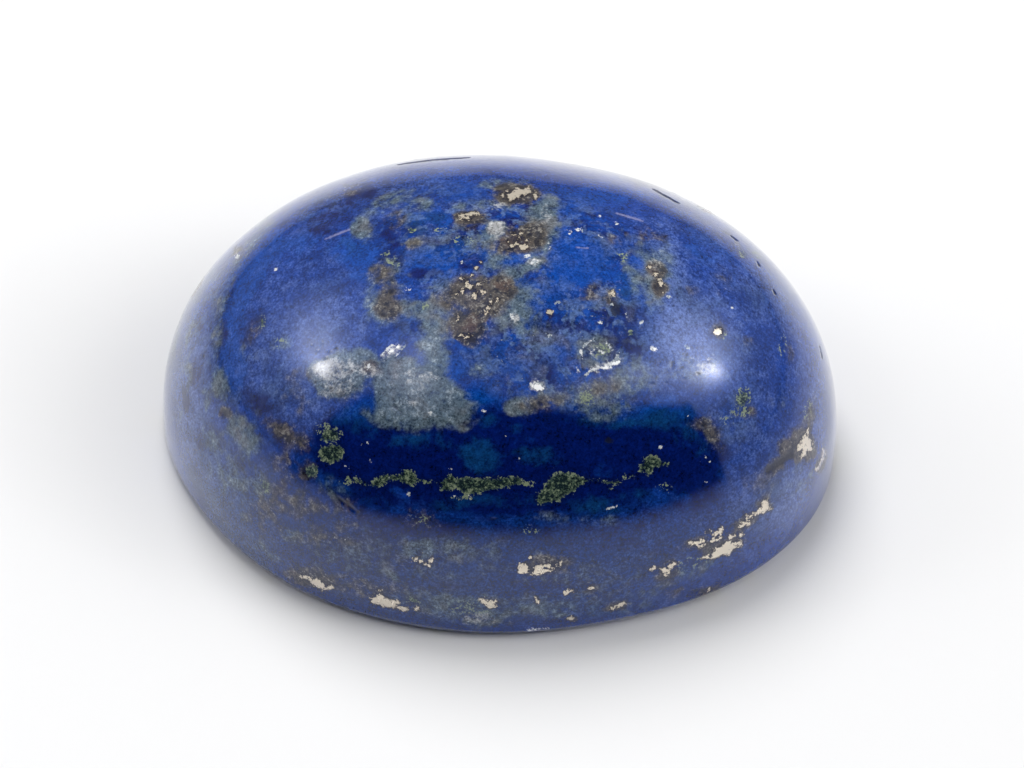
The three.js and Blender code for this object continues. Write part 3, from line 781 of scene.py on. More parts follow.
# ---- royal blue ------------------------------------------------------------------------
for x, y, a, b, d, much, soft in [
    (580, 262, 34, 28, 0, 0.9, 0.5), (540, 296, 24, 14, 0, 0.8, 0.5), (500, 256, 22, 11, 10, 0.9, 0.5), (435, 262, 34, 14, 10, 0.7, 0.6),
    (408, 312, 10, 8, 0, 0.8, 0.5), (365, 265, 16, 22, 0, 0.5, 0.6), (350, 250, 22, 14, 0, 0.5, 0.6), (395, 247, 20, 10, 0, 0.4, 0.6),
    (452, 368, 17, 13, 0, 0.95, 0.4), (470, 345, 14, 10, 0, 0.6, 0.5), (566, 212, 18, 9, 0, 0.5, 0.6), (560, 230, 14, 8, 0, 0.5, 0.6),
    (638, 262, 7, 7, 0, 0.7, 0.5), (645, 300, 10, 14, 0, 0.5, 0.5), (600, 335, 14, 8, 0, 0.4, 0.6), (560, 355, 14, 14, 0, 0.6, 0.5),
    (655, 405, 24, 9, -20, 0.6, 0.6), (680, 420, 20, 10, 0, 0.55, 0.6), (520, 368, 20, 10, 0, 0.5, 0.6), (575, 345, 10, 14, 0, 0.4, 0.6), (485, 385, 18, 8, 0, 0.5, 0.6), (520, 395, 10, 6, 0, 0.2, 0.6), (480, 398, 24, 6, 0, 0.6, 0.6),
    (690, 195, 40, 12, 25, 0.5, 0.7), (640, 190, 40, 10, 15, 0.45, 0.7), (720, 250, 40, 30, 40, 0.35, 0.8), (430, 172, 40, 8, -10, 0.4, 0.7),
    (230, 330, 14, 60, 10, 0.75, 0.5), (245, 275, 16, 30, 30, 0.7, 0.5), (270, 240, 20, 12, -40, 0.5, 0.6), (235, 370, 12, 20, 0, 0.7, 0.5),
    (345, 430, 14, 14, 0, 0.4, 0.6), (470, 510, 60, 8, 3, 0.35, 0.6), (680, 495, 30, 8, -15, 0.35, 0.6), (335, 480, 14, 8, 30, 0.5, 0.6),
    (620, 245, 16, 10, 0, 0.5, 0.6), (585, 300, 16, 8, 0, 0.4, 0.6), (290, 250, 40, 16, -30, 0.4, 0.7), (460, 190, 30, 14, 0, 0.5, 0.7),
    (590, 195, 40, 12, 5, 0.45, 0.7), (655, 320, 8, 18, 0, 0.5, 0.6), (430, 300, 12, 6, 0, 0.3, 0.6), (780, 300, 14, 40, -20, 0.3, 0.7),
]:
    M.cloud("royal", x, y, a, b, d, much, soft)

# ---- navy, and painted shade over the dark window --------------------------------------
# The clouds across the dark front window, x 330 to 710 and y 400 to 520, are painted shade: they deepen the darkness
# that the tent's dark front leaves in the polish there; the rest are navy patches of the rock.
for x, y, a, b, d, much, soft in [
    (520, 464, 195, 46, 0, 0.85, 0.28), (350, 450, 34, 34, 20, 0.6, 0.4), (690, 455, 34, 32, -10, 0.7, 0.4), (520, 560, 240, 60, 0, 0.28, 0.6), (330, 520, 80, 40, 25, 0.3, 0.7),
    (530, 416, 60, 16, 0, 0.55, 0.5), (670, 425, 30, 16, 0, 0.5, 0.5),
    (510, 222, 9, 6, 0, 0.8, 0.5), (530, 210, 11, 7, 0, 0.8, 0.5), (396, 232, 17, 16, 0, 0.6, 0.5), (424, 274, 16, 7, 0, 0.7, 0.5), (470, 262, 20, 10, 0, 0.5, 0.6),
    (470, 232, 12, 9, 0, 0.6, 0.5), (392, 258, 14, 12, 0, 0.5, 0.5), (410, 332, 20, 9, 0, 0.45, 0.6), (545, 322, 26, 12, 0, 0.5, 0.6), (620, 330, 26, 26, 0, 0.5, 0.6),
    (600, 290, 14, 9, 0, 0.4, 0.6), (560, 372, 20, 20, 0, 0.35, 0.6), (500, 330, 20, 8, 0, 0.35, 0.6), (630, 240, 20, 12, 30, 0.35, 0.6), (650, 235, 20, 10, 20, 0.3, 0.6),
    (480, 430, 90, 14, 0, 0.6, 0.6), (445, 455, 30, 18, 0, 0.7, 0.6), (555, 455, 26, 12, 0, 0.4, 0.7), (600, 440, 36, 22, 0, 0.7, 0.6), (690, 455, 28, 20, 20, 0.75, 0.6),
    (370, 440, 30, 24, 0, 0.45, 0.6), (500, 505, 80, 9, 0, 0.6, 0.6), (600, 500, 40, 10, 0, 0.5, 0.6), (690, 480, 26, 12, 0, 0.6, 0.6), (380, 500, 30, 8, 20, 0.5, 0.6),
    (540, 470, 14, 8, 0, 0.6, 0.5), (350, 200, 40, 12, -25, 0.45, 0.7), (330, 225, 24, 10, -25, 0.4, 0.6), (250, 330, 14, 20, 0, 0.4, 0.6), (425, 200, 14, 7, 0, 0.3, 0.6),
    (222, 336, 5, 34, 8, 0.5, 0.5), (220, 396, 4, 20, -8, 0.4, 0.5), (230, 290, 5, 16, 25, 0.4, 0.5),
    (196, 372, 6, 18, 6, 0.55, 0.5), (186, 398, 5, 16, -4, 0.5, 0.5), (203, 318, 5, 16, 14, 0.45, 0.5), (216, 438, 7, 14, -24, 0.5, 0.5), (240, 468, 8, 14, -40, 0.45, 0.5), (200, 440, 5, 14, -20, 0.4, 0.5),
    (262, 404, 10, 8, 20, 0.5, 0.5), (250, 395, 9, 5, 40, 0.5, 0.5), (255, 440, 10, 6, 50, 0.4, 0.5),
    (300, 440, 30, 14, 10, 0.3, 0.6), (350, 500, 26, 8, 25, 0.5, 0.6), (270, 420, 14, 26, -30, 0.4, 0.6), (410, 530, 50, 12, 5, 0.4, 0.7), (310, 560, 30, 10, 20, 0.3, 0.7),
    (640, 345, 12, 12, 0, 0.4, 0.6), (545, 585, 30, 8, 0, 0.35, 0.7), (700, 500, 50, 10, -20, 0.25, 0.7), (560, 620, 30, 5, 0, 0.3, 0.7), (360, 560, 40, 14, 10, 0.3, 0.7),
]:
    M.cloud("navy", x, y, a, b, d, much, soft)

# ---- teal clouds in the dark front -----------------------------------------------------
for x, y, a, b, d, much, soft in [
    (480, 457, 20, 16, 20, 0.9, 0.6), (538, 456, 22, 10, 5, 0.6, 0.6), (598, 506, 24, 10, 0, 0.6, 0.6), (665, 415, 36, 10, -10, 0.6, 0.6), (360, 412, 26, 12, -20, 0.55, 0.6), (700, 445, 24, 12, 20, 0.35, 0.6), (505, 500, 50, 8, 0, 0.35, 0.6), (425, 440, 30, 10, 0, 0.35, 0.7), (365, 425, 14, 14, 0, 0.3, 0.7), (335, 485, 22, 8, 25, 0.5, 0.6),
    (470, 400, 20, 10, 0, 0.35, 0.6), (610, 420, 36, 8, 0, 0.5, 0.6), (450, 505, 20, 8, 0, 0.4, 0.6), (680, 425, 24, 8, 0, 0.35, 0.6), (640, 495, 26, 7, 0, 0.35, 0.6),
    (490, 420, 12, 8, 0, 0.4, 0.6), (518, 428, 10, 5, 0, 0.35, 0.6), (400, 440, 20, 6, 0, 0.35, 0.6), (420, 222, 30, 12, 0, 0.4, 0.6), (455, 245, 30, 12, 0, 0.3, 0.6),
    (630, 285, 16, 16, 0, 0.4, 0.6), (500, 290, 26, 12, 0, 0.25, 0.7), (350, 245, 26, 14, 0, 0.25, 0.7), (505, 315, 14, 8, 0, 0.4, 0.6), (425, 575, 60, 8, 0, 0.2, 0.7),
    (700, 565, 40, 8, -22, 0.4, 0.6), (590, 610, 60, 9, -3, 0.35, 0.6), (250, 575, 40, 8, 30, 0.3, 0.6), (700, 300, 40, 30, 0, 0.1, 0.8),
]:
    M.cloud("teal", x, y, a, b, d, much, soft)

# ---- brown and olive stains ------------------------------------------------------------
for x, y, a, b, d, much, soft in [
    (514, 193, 24, 11, 0, 0.85, 0.35), (524, 238, 20, 14, 0, 0.95, 0.4), (513, 246, 12, 8, 0, 0.8, 0.5), (470, 217, 18, 6, 5, 0.75, 0.4), (465, 226, 12, 6, 0, 0.5, 0.5),
    (472, 290, 20, 16, 0, 0.6, 0.5), (471, 322, 17, 22, 15, 0.95, 0.4), (448, 298, 14, 9, -10, 0.6, 0.5), (503, 288, 13, 12, 0, 0.85, 0.45), (492, 308, 12, 8, 0, 0.6, 0.5),
    (388, 288, 12, 22, -4, 0.62, 0.6), (386, 310, 13, 9, 10, 0.7, 0.5), (378, 275, 10, 12, 0, 0.35, 0.6), (396, 222, 12, 10, 0, 0.4, 0.6), (410, 243, 10, 6, 0, 0.3, 0.6),
    (658, 267, 11, 9, 0, 0.65, 0.5), (661, 286, 8, 9, 0, 0.7, 0.5), (653, 234, 12, 10, 0, 0.4, 0.6), (612, 297, 8, 8, 0, 0.6, 0.5), (592, 292, 14, 8, 0, 0.4, 0.6), (622, 240, 14, 10, 20, 0.3, 0.6),
    (370, 367, 10, 8, 0, 0.75, 0.45), (538, 404, 16, 8, -10, 0.5, 0.6), (560, 398, 14, 6, 0, 0.35, 0.6), (600, 385, 22, 10, 0, 0.3, 0.6), (530, 385, 12, 6, 0, 0.3, 0.6),
    (284, 431, 26, 8, 32, 0.55, 0.5), (299, 441, 12, 10, 0, 0.4, 0.6), (308, 471, 9, 9, 0, 0.6, 0.5), (352, 508, 13, 9, 20, 0.45, 0.5), (285, 470, 20, 16, 0, 0.3, 0.7),
    (300, 505, 34, 14, 10, 0.35, 0.7), (320, 535, 30, 12, 0, 0.35, 0.7), (265, 520, 20, 20, 0, 0.3, 0.7), (345, 530, 20, 12, 0, 0.25, 0.7), (224, 413, 7, 6, 0, 0.7, 0.5),
    (306, 577, 20, 10, 10, 0.75, 0.45), (350, 585, 30, 8, 12, 0.5, 0.6), (380, 590, 24, 8, 0, 0.45, 0.6), (422, 519, 20, 9, 8, 0.35, 0.6), (400, 562, 20, 8, 0, 0.2, 0.7),
    (719, 331, 8, 8, 0, 0.7, 0.5), (803, 445, 15, 16, 0, 0.85, 0.5), (789, 448, 10, 9, 0, 0.75, 0.5), (775, 467, 12, 7, -35, 0.7, 0.5), (811, 415, 6, 18, 12, 0.5, 0.6), (822, 462, 5, 12, 18, 0.6, 0.5),
    (714, 436, 9, 18, -20, 0.36, 0.6), (700, 424, 14, 7, 20, 0.3, 0.6), (745, 413, 12, 6, 0, 0.45, 0.6), (722, 545, 22, 10, -18, 0.75, 0.5), (744, 524, 14, 6, -35, 0.7, 0.5), (764, 506, 10, 8, -30, 0.5, 0.6), (696, 543, 16, 6, -15, 0.6, 0.5),
    (667, 570, 13, 9, -20, 0.55, 0.6), (542, 566, 26, 9, -3, 0.7, 0.5), (590, 588, 8, 6, 0, 0.4, 0.6), (617, 606, 14, 5, -10, 0.5, 0.5), (672, 593, 12, 5, -20, 0.5, 0.6), (490, 604, 12, 6, 0, 0.4, 0.6),
    (722, 277, 9, 7, 0, 0.35, 0.6), (724, 291, 7, 5, 0, 0.3, 0.6), (690, 290, 9, 5, 0, 0.3, 0.6), (730, 240, 14, 8, 35, 0.25, 0.7), (237, 252, 8, 8, -40, 0.5, 0.6), (255, 335, 8, 12, 0, 0.25, 0.7),
    (340, 395, 16, 14, 0, 0.2, 0.7), (295, 395, 16, 18, 0, 0.3, 0.7), (300, 375, 14, 10, 0, 0.2, 0.7), (748, 340, 6, 5, 0, 0.2, 0.6), (345, 190, 20, 8, -30, 0.25, 0.7), (225, 590, 20, 5, 50, 0.2, 0.7),
    (483, 303, 22, 14, -25, 0.85, 0.4), (462, 306, 16, 12, 20, 0.6, 0.5), (468, 328, 18, 12, 0, 0.8, 0.4), (508, 243, 26, 10, -10, 0.5, 0.5), (536, 232, 12, 12, 0, 0.55, 0.5),
    (590, 365, 16, 8, 0, 0.18, 0.6), (565, 345, 12, 10, 0, 0.1, 0.7), (450, 330, 10, 12, 0, 0.4, 0.6), (760, 485, 16, 20, 20, 0.2, 0.7), (495, 620, 40, 6, 0, 0.25, 0.7), (790, 345, 6, 18, 0, 0.3, 0.6),
]:
    M.cloud("brown", x, y, a, b, d, much, soft)
for x, y, a, b, d, much, soft in [
    (471, 322, 10, 16, 15, 0.5, 0.6), (503, 286, 9, 8, 0, 0.7, 0.5), (514, 198, 20, 5, 0, 0.3, 0.6), (370, 367, 7, 6, 0, 0.6, 0.5), (352, 508, 9, 6, 0, 0.5, 0.5),
    (286, 432, 16, 5, 32, 0.25, 0.5), (519, 240, 14, 10, 0, 0.3, 0.6), (650, 270, 8, 8, 0, 0.5, 0.6), (224, 413, 5, 4, 0, 0.5, 0.5), (700, 500, 20, 8, 0, 0.2, 0.7), (735, 490, 10, 16, 20, 0.35, 0.7),
]:
    M.cloud("rust", x, y, a, b, d, much, soft)


# ---- the sides the photo doesn't show: the same minerals, strewn with a fixed seed ------
def elsewhere(n, where):
    """n anchors on the part of the skin that where(points, normals) allows."""
    nrm = normals_of(points, faces)
    tri = faces
    area = np.linalg.norm(
        np.cross(points[tri[:, 1]] - points[tri[:, 0]], points[tri[:, 2]] - points[tri[:, 0]]),
        axis=1,
    )
    mid = points[tri].mean(1)
    nn = nrm[tri].mean(1)
    ok = where(mid, nn / np.linalg.norm(nn, axis=1, keepdims=True))
    w = area * ok
    pick = rng.choice(len(tri), n, p=w / w.sum())
    return [
        Anchor(mid[i], nn[i] / np.linalg.norm(nn[i]), np.eye(2) * PX_PER_MM)
        for i in pick
    ]


def facing(mid, nn):
    to_cam = CAM - mid
    return (nn * to_cam).sum(1) / np.linalg.norm(to_cam, axis=1)


def hidden_side(mid, nn):
    return (facing(mid, nn) < 0.1) & (mid[:, 2] > 0.35)


def underside(mid, nn):
    return nn[:, 2] < -0.9


def strew_cloud(kind, anchors, small, large, much, soft=0.5):
    for a in anchors:
        s = small + (large - small) * rng.random() ** 1.5
        M.clouds.setdefault(kind, []).append(
            (a, "oval", (s * (1 + 0.9 * rng.random()), s, rng.random() * 180), much * (0.6 + 0.4 * rng.random()), soft)
        )


def strew_grain(kind, anchors, small, large):
    for a in anchors:
        s = small + (large - small) * rng.random() ** 2.5
        M.grains.setdefault(kind, []).append(
            (a, "oval", (s * (1 + 1.2 * rng.random()), s, rng.random() * 180))
        )


def strew_pyrite(anchors):
    """Grains in short chains with a brown halo, as on the side that the photo shows."""
    for a in anchors:
        turn = rng.random() * math.pi
        along = np.array([math.cos(turn), math.sin(turn)])
        for k in range(rng.integers(2, 7)):
            off = along * rng.normal(0, 9) + rng.normal(0, 2.5, 2)
            s = 1.2 + 4.0 * rng.random() ** 2.2
            q = rng.random() * 0.5 + 1
            ring = np.arange(9) / 9 * 2 * math.pi
            rad = s * (1 + 0.35 * rng.normal(0, 1, 9).clip(-1, 1))
            shape = np.stack([rad * q * np.cos(ring), rad * np.sin(ring)], 1)
            c, t = math.cos(turn), math.sin(turn)
            shape = shape @ np.array([[c, t], [-t, c]]) + off
            M.grains.setdefault("pyrite", []).append((a, "poly", shape))
        M.clouds.setdefault("brown", []).append((a, "oval", (20, 10, math.degrees(turn)), 0.7, 0.5))


strew_cloud("busy", elsewhere(7, hidden_side), 40, 90, 0.9, 0.4)
strew_cloud("calcite", elsewhere(30, hidden_side), 8, 34, 0.75)
strew_cloud("royal", elsewhere(34, hidden_side), 10, 40, 0.7)
strew_cloud("navy", elsewhere(34, hidden_side), 10, 40, 0.6)
strew_cloud("haze_and_sheen", elsewhere(24, hidden_side), 20, 60, 0.4, 0.7)
strew_cloud("teal", elsewhere(14, hidden_side), 10, 24, 0.5)
strew_cloud("brown", elsewhere(26, hidden_side), 6, 20, 0.8)
strew_cloud("rust", elsewhere(8, hidden_side), 5, 12, 0.5)
strew_grain("white", elsewhere(26, hidden_side), 1.2, 3.5)
strew_cloud("salt", elsewhere(8, hidden_side), 10, 22, 1.0)
strew_cloud("leafy", elsewhere(14, hidden_side), 8, 24, 1.0)
strew_cloud("pepper", elsewhere(16, hidden_side), 14, 60, 1.0)
strew_grain("green", elsewhere(26, hidden_side), 1.8, 6.0)
strew_grain("dark", elsewhere(26, hidden_side), 1.8, 5.0)
strew_pyrite(elsewhere(13, hidden_side))
strew_cloud("busy", elsewhere(3, underside), 60, 140, 0.8, 0.5)
strew_cloud("calcite", elsewhere(16, underside), 14, 60, 0.6)
strew_cloud("royal", elsewhere(16, underside), 20, 60, 0.6)
strew_cloud("navy", elsewhere(16, underside), 20, 60, 0.6)
strew_cloud("haze_and_sheen", elsewhere(10, underside), 30, 80, 0.4)
strew_cloud("brown", elsewhere(16, underside), 10, 34, 0.7)
strew_grain("green", elsewhere(14, underside), 3.0, 9.0)
strew_cloud("leafy", elsewhere(8, underside), 20, 50, 1.0)
strew_cloud("pepper", elsewhere(8, underside), 30, 90, 1.0)
strew_pyrite(elsewhere(7, underside))

GRAINS = ("pyrite", "white", "painted_highlight", "green", "dark", "slit", "scratch")
CLOUDS = ("front", "busy", "salt", "pepper", "leafy", "calcite", "chalk", "haze_and_sheen", "royal", "navy", "teal", "brown", "rust")

# ---- split the mesh finely where grains have crisp edges -------------------------------
for near, far in ((-3.6, 4.5), (-1.7, 1.9)):
    spots = PointCloud(points, normals_of(points, faces))
    s = np.max([M.distance(k, spots) for k in GRAINS], axis=0)
    corner = s[faces]
    chosen = np.flatnonzero((corner.max(1) > near) & (corner.min(1) < far))
    coords, faces = split(coords, faces, chosen)
    points = place(coords)
normal = normals_of(points, faces)
spots = PointCloud(points, normal)
fields = {k: M.distance(k, spots) for k in GRAINS}
fields |= {k: M.density(k, spots) for k in CLOUDS}

# ---- relief: polishing waves, soft grains worn low, pyrite a little proud ---------------
relief = np.zeros(len(points))
for _ in range(40):
    d = rng.normal(0, 1, 3)
    d /= np.linalg.norm(d)
    wave = 1.2 + 4.5 * rng.random()
    relief += 0.0011 * wave * np.sin(points @ d * (2 * math.pi / wave) + rng.random() * 6.28) / 2
step = lambda x, lo, hi: np.clip((x - lo) / (hi - lo), 0, 1)
relief += 0.010 * step(fields["pyrite"], -1.0, 1.0)
relief -= 0.040 * step(fields["slit"], -0.6, 1.2)
relief -= 0.010 * step(fields["dark"], -1.0, 1.5)
relief -= 0.006 * step(fields["green"], -1.0, 1.5)
relief -= 0.008 * fields["brown"] * step(fields["brown"], 0.2, 0.8)
relief += 0.003 * fields["calcite"]
relief -= 0.010 * step(fields["scratch"], -1.0, 0.5)
flat_back = (coords[:, 2] > 0.5) | (np.hypot(coords[:, 0], coords[:, 1]) > 1.0)
relief[flat_back] = 0
points = points + normal * relief[:, None]

# ---- the mesh ---------------------------------------------------------------------------
mesh = bpy.data.meshes.new("lapis_stone")
mesh.vertices.add(len(points))
mesh.vertices.foreach_set("co", (points / 1000).astype(np.float32).ravel())
mesh.loops.add(faces.size)
mesh.loops.foreach_set("vertex_index", faces.astype(np.int32).ravel())
mesh.polygons.add(len(faces))
mesh.polygons.foreach_set("loop_start", np.arange(0, faces.size, 3, dtype=np.int32))
mesh.polygons.foreach_set("use_smooth", np.ones(len(faces), bool))
back_face = (coords[faces, 2] > 0.5).any(1)
mesh.polygons.foreach_set("material_index", back_face.astype(np.int32))
mesh.update(calc_edges=True)
# one map: the dome as a disc, the back as a smaller one below it
ang = np.arctan2(coords[:, 1], coords[:, 0])
rad = np.hypot(coords[:, 0], coords[:, 1])
dome_r = rad / FLAT
back_r = np.clip((BACK_END - rad) / (BACK_END - FLAT), 0, 1)
dome_uv = np.stack([0.5 + 0.49 * dome_r * np.cos(ang), 0.66 + 0.33 * dome_r * np.sin(ang)], 1)
back_uv = np.stack([0.5 + 0.22 * back_r * np.cos(ang), 0.16 + 0.15 * back_r * np.sin(ang)], 1)
uv = np.where(back_face[:, None, None], back_uv[faces], dome_uv[faces])
layer = mesh.uv_layers.new(name="OFBake")
layer.data.foreach_set("uv", uv.astype(np.float32).ravel())
for name, values in fields.items():
    mesh.attributes.new(name, "FLOAT", "POINT").data.foreach_set(
        "value", values.astype(np.float32)
    )
stone = bpy.data.objects.new("lapis_stone", mesh)
bpy.context.scene.collection.objects.link(stone)


# ======================================================================================
# Node helper: arithmetic on sockets
# ======================================================================================
class N:
    """A node tree's number or colour. a + b, a * b and so on make Math nodes."""

    def __init__(self, nt, socket):
        self.nt, self.s = nt, socket

    def op(self, operation, *others):
        node = self.nt.nodes.new("ShaderNodeMath")
        node.operation = operation
        self.nt.links.new(self.s, node.inputs[0])
        for i, o in enumerate(others):
            if isinstance(o, N):
                self.nt.links.new(o.s, node.inputs[i + 1])
            else:
                node.inputs[i + 1].default_value = o
        return N(self.nt, node.outputs[0])

    def __add__(self, o):
        return self.op("ADD", o)

    __radd__ = __add__

    def __sub__(self, o):
        return self.op("SUBTRACT", o)

    def __rsub__(self, o):
        return (self * -1.0) + o

    def __mul__(self, o):
        return self.op("MULTIPLY", o)

    __rmul__ = __mul__

    def __truediv__(self, o):
        return self.op("DIVIDE", o)

    def max(self, o):
        return self.op("MAXIMUM", o)

    def min(self, o):
        return self.op("MINIMUM", o)

    def smooth(self, lo, hi):
        node = self.nt.nodes.new("ShaderNodeMapRange")
        node.interpolation_type = "SMOOTHSTEP"
        self.nt.links.new(self.s, node.inputs["Value"])
        flip = lo > hi
        node.inputs["From Min"].default_value = min(lo, hi)
        node.inputs["From Max"].default_value = max(lo, hi)
        node.inputs["To Min"].default_value = 1.0 if flip else 0.0
        node.inputs["To Max"].default_value = 0.0 if flip else 1.0
        return N(self.nt, node.outputs["Result"])

    def curve(self, pts, lo, hi):
        """pts: (x, y) with x from lo to hi, straight lines between."""
        node = self.nt.nodes.new("ShaderNodeFloatCurve")
        c = node.mapping.curves[0]
        top = max(y for _, y in pts)
        while len(c.points) > 2:
            c.points.remove(c.points[0])
        c.points[0].location = ((pts[0][0] - lo) / (hi - lo), pts[0][1] / top)
        c.points[1].location = ((pts[-1][0] - lo) / (hi - lo), pts[-1][1] / top)
        for x, y in pts[1:-1]:
            c.points.new((x - lo) / (hi - lo), y / top)
        for p in c.points:
            p.handle_type = "AUTO_CLAMPED"
        node.mapping.update()
        self.nt.links.new(((self - lo) / (hi - lo)).s, node.inputs["Value"])
        return N(self.nt, node.outputs[0]) * top


class Paint:
    """Builds one material's nodes."""

    def __init__(self, nt):
        self.nt = nt
        coord = nt.nodes.new("ShaderNodeTexCoord")
        scale = nt.nodes.new("ShaderNodeVectorMath")
        scale.operation = "SCALE"
        scale.inputs["Scale"].default_value = 1000.0
        nt.links.new(coord.outputs["Object"], scale.inputs[0])
        self.pos = scale.outputs[0]

    def shifted(self, amount, scale, detail=2.0):
        """The position, pushed about by a noise: amount in mm."""
        nz = self.nt.nodes.new("ShaderNodeTexNoise")
        nz.inputs["Scale"].default_value = scale
        nz.inputs["Detail"].default_value = detail
        self.nt.links.new(self.pos, nz.inputs["Vector"])
        sub = self.nt.nodes.new("ShaderNodeVectorMath")
        sub.operation = "SUBTRACT"
        sub.inputs[1].default_value = (0.5, 0.5, 0.5)
        self.nt.links.new(nz.outputs["Color"], sub.inputs[0])
        mul = self.nt.nodes.new("ShaderNodeVectorMath")
        mul.operation = "SCALE"
        mul.inputs["Scale"].default_value = amount * 2
        self.nt.links.new(sub.outputs[0], mul.inputs[0])
        add = self.nt.nodes.new("ShaderNodeVectorMath")
        add.operation = "ADD"
        self.nt.links.new(self.pos, add.inputs[0])
        self.nt.links.new(mul.outputs[0], add.inputs[1])
        return add.outputs[0]

    def noise(self, scale, detail=2.0, rough=0.5, at=None, distortion=0.0):
        node = self.nt.nodes.new("ShaderNodeTexNoise")
        node.inputs["Scale"].default_value = scale
        node.inputs["Detail"].default_value = detail
        node.inputs["Roughness"].default_value = rough
        node.inputs["Distortion"].default_value = distortion
        self.nt.links.new(at or self.pos, node.inputs["Vector"])
        return N(self.nt, node.outputs[0])

    def signed(self, scale, detail, rough, at=None):
        """A noise around 0: each octave swings about 0.3 either way, times rough for each finer one."""
        n = self.noise(scale, detail, rough, at)
        n.s.node.normalize = False
        return n

    def cells(self, scale, at=None, feature="F1", output="Distance"):
        node = self.nt.nodes.new("ShaderNodeTexVoronoi")
        node.feature = feature
        node.inputs["Scale"].default_value = scale
        self.nt.links.new(at or self.pos, node.inputs["Vector"])
        return N(self.nt, node.outputs[output])

    def field(self, name):
        node = self.nt.nodes.new("ShaderNodeAttribute")
        node.attribute_name = name
        return N(self.nt, node.outputs["Fac"])

    def mix(self, a, b, share):
        node = self.nt.nodes.new("ShaderNodeMix")
        node.data_type = "RGBA"
        for value, socket in ((a, node.inputs[6]), (b, node.inputs[7])):
            if isinstance(value, N):
                self.nt.links.new(value.s, socket)
            else:
                socket.default_value = (*value, 1.0)
        if isinstance(share, N):
            self.nt.links.new(share.s, node.inputs[0])
        else:
            node.inputs[0].default_value = share
        return N(self.nt, node.outputs[2])

    def times(self, colour, number):
        """A colour made lighter or darker by a number."""
        node = self.nt.nodes.new("ShaderNodeVectorMath")
        node.operation = "SCALE"
        self.nt.links.new(colour.s, node.inputs[0])
        self.nt.links.new(number.s, node.inputs["Scale"])
        return N(self.nt, node.outputs[0])


BLUE = (0.0030, 0.0340, 0.230)
ROYAL = (0.0008, 0.0540, 0.325)
FRONT_BLUE = (0.0020, 0.0260, 0.150)
VIOLET = (0.0050, 0.0440, 0.285)
LAVENDER = (0.1050, 0.1620, 0.390)
GREYBLUE = (0.0520, 0.0950, 0.200)
NAVY = (0.0008, 0.0080, 0.100)
INK = (0.0012, 0.0060, 0.045)
SOOT = (0.0070, 0.0070, 0.0120)
TEAL = (0.0040, 0.0500, 0.175)
VEIL = (0.082, 0.145, 0.320)
CALCITE_DARK = (0.032, 0.064, 0.105)
CALCITE = (0.105, 0.148, 0.180)
CALCITE_LIGHT = (0.270, 0.315, 0.350)
CHALK_AND_GLINT = (0.430, 0.430, 0.430)
WHITE = (0.720, 0.730, 0.740)
BEIGE = (0.175, 0.172, 0.165)
BROWN_DARK = (0.030, 0.026, 0.027)
BROWN = (0.092, 0.078, 0.062)
BROWN_LIGHT = (0.190, 0.180, 0.162)
RUST = (0.115, 0.074, 0.052)
GREEN_DARK = (0.010, 0.022, 0.026)
GREEN = (0.062, 0.095, 0.066)
GREEN_PALE = (0.240, 0.290, 0.185)
PYRITE = (0.820, 0.730, 0.590)
PYRITE_EDGE = (0.300, 0.250, 0.200)


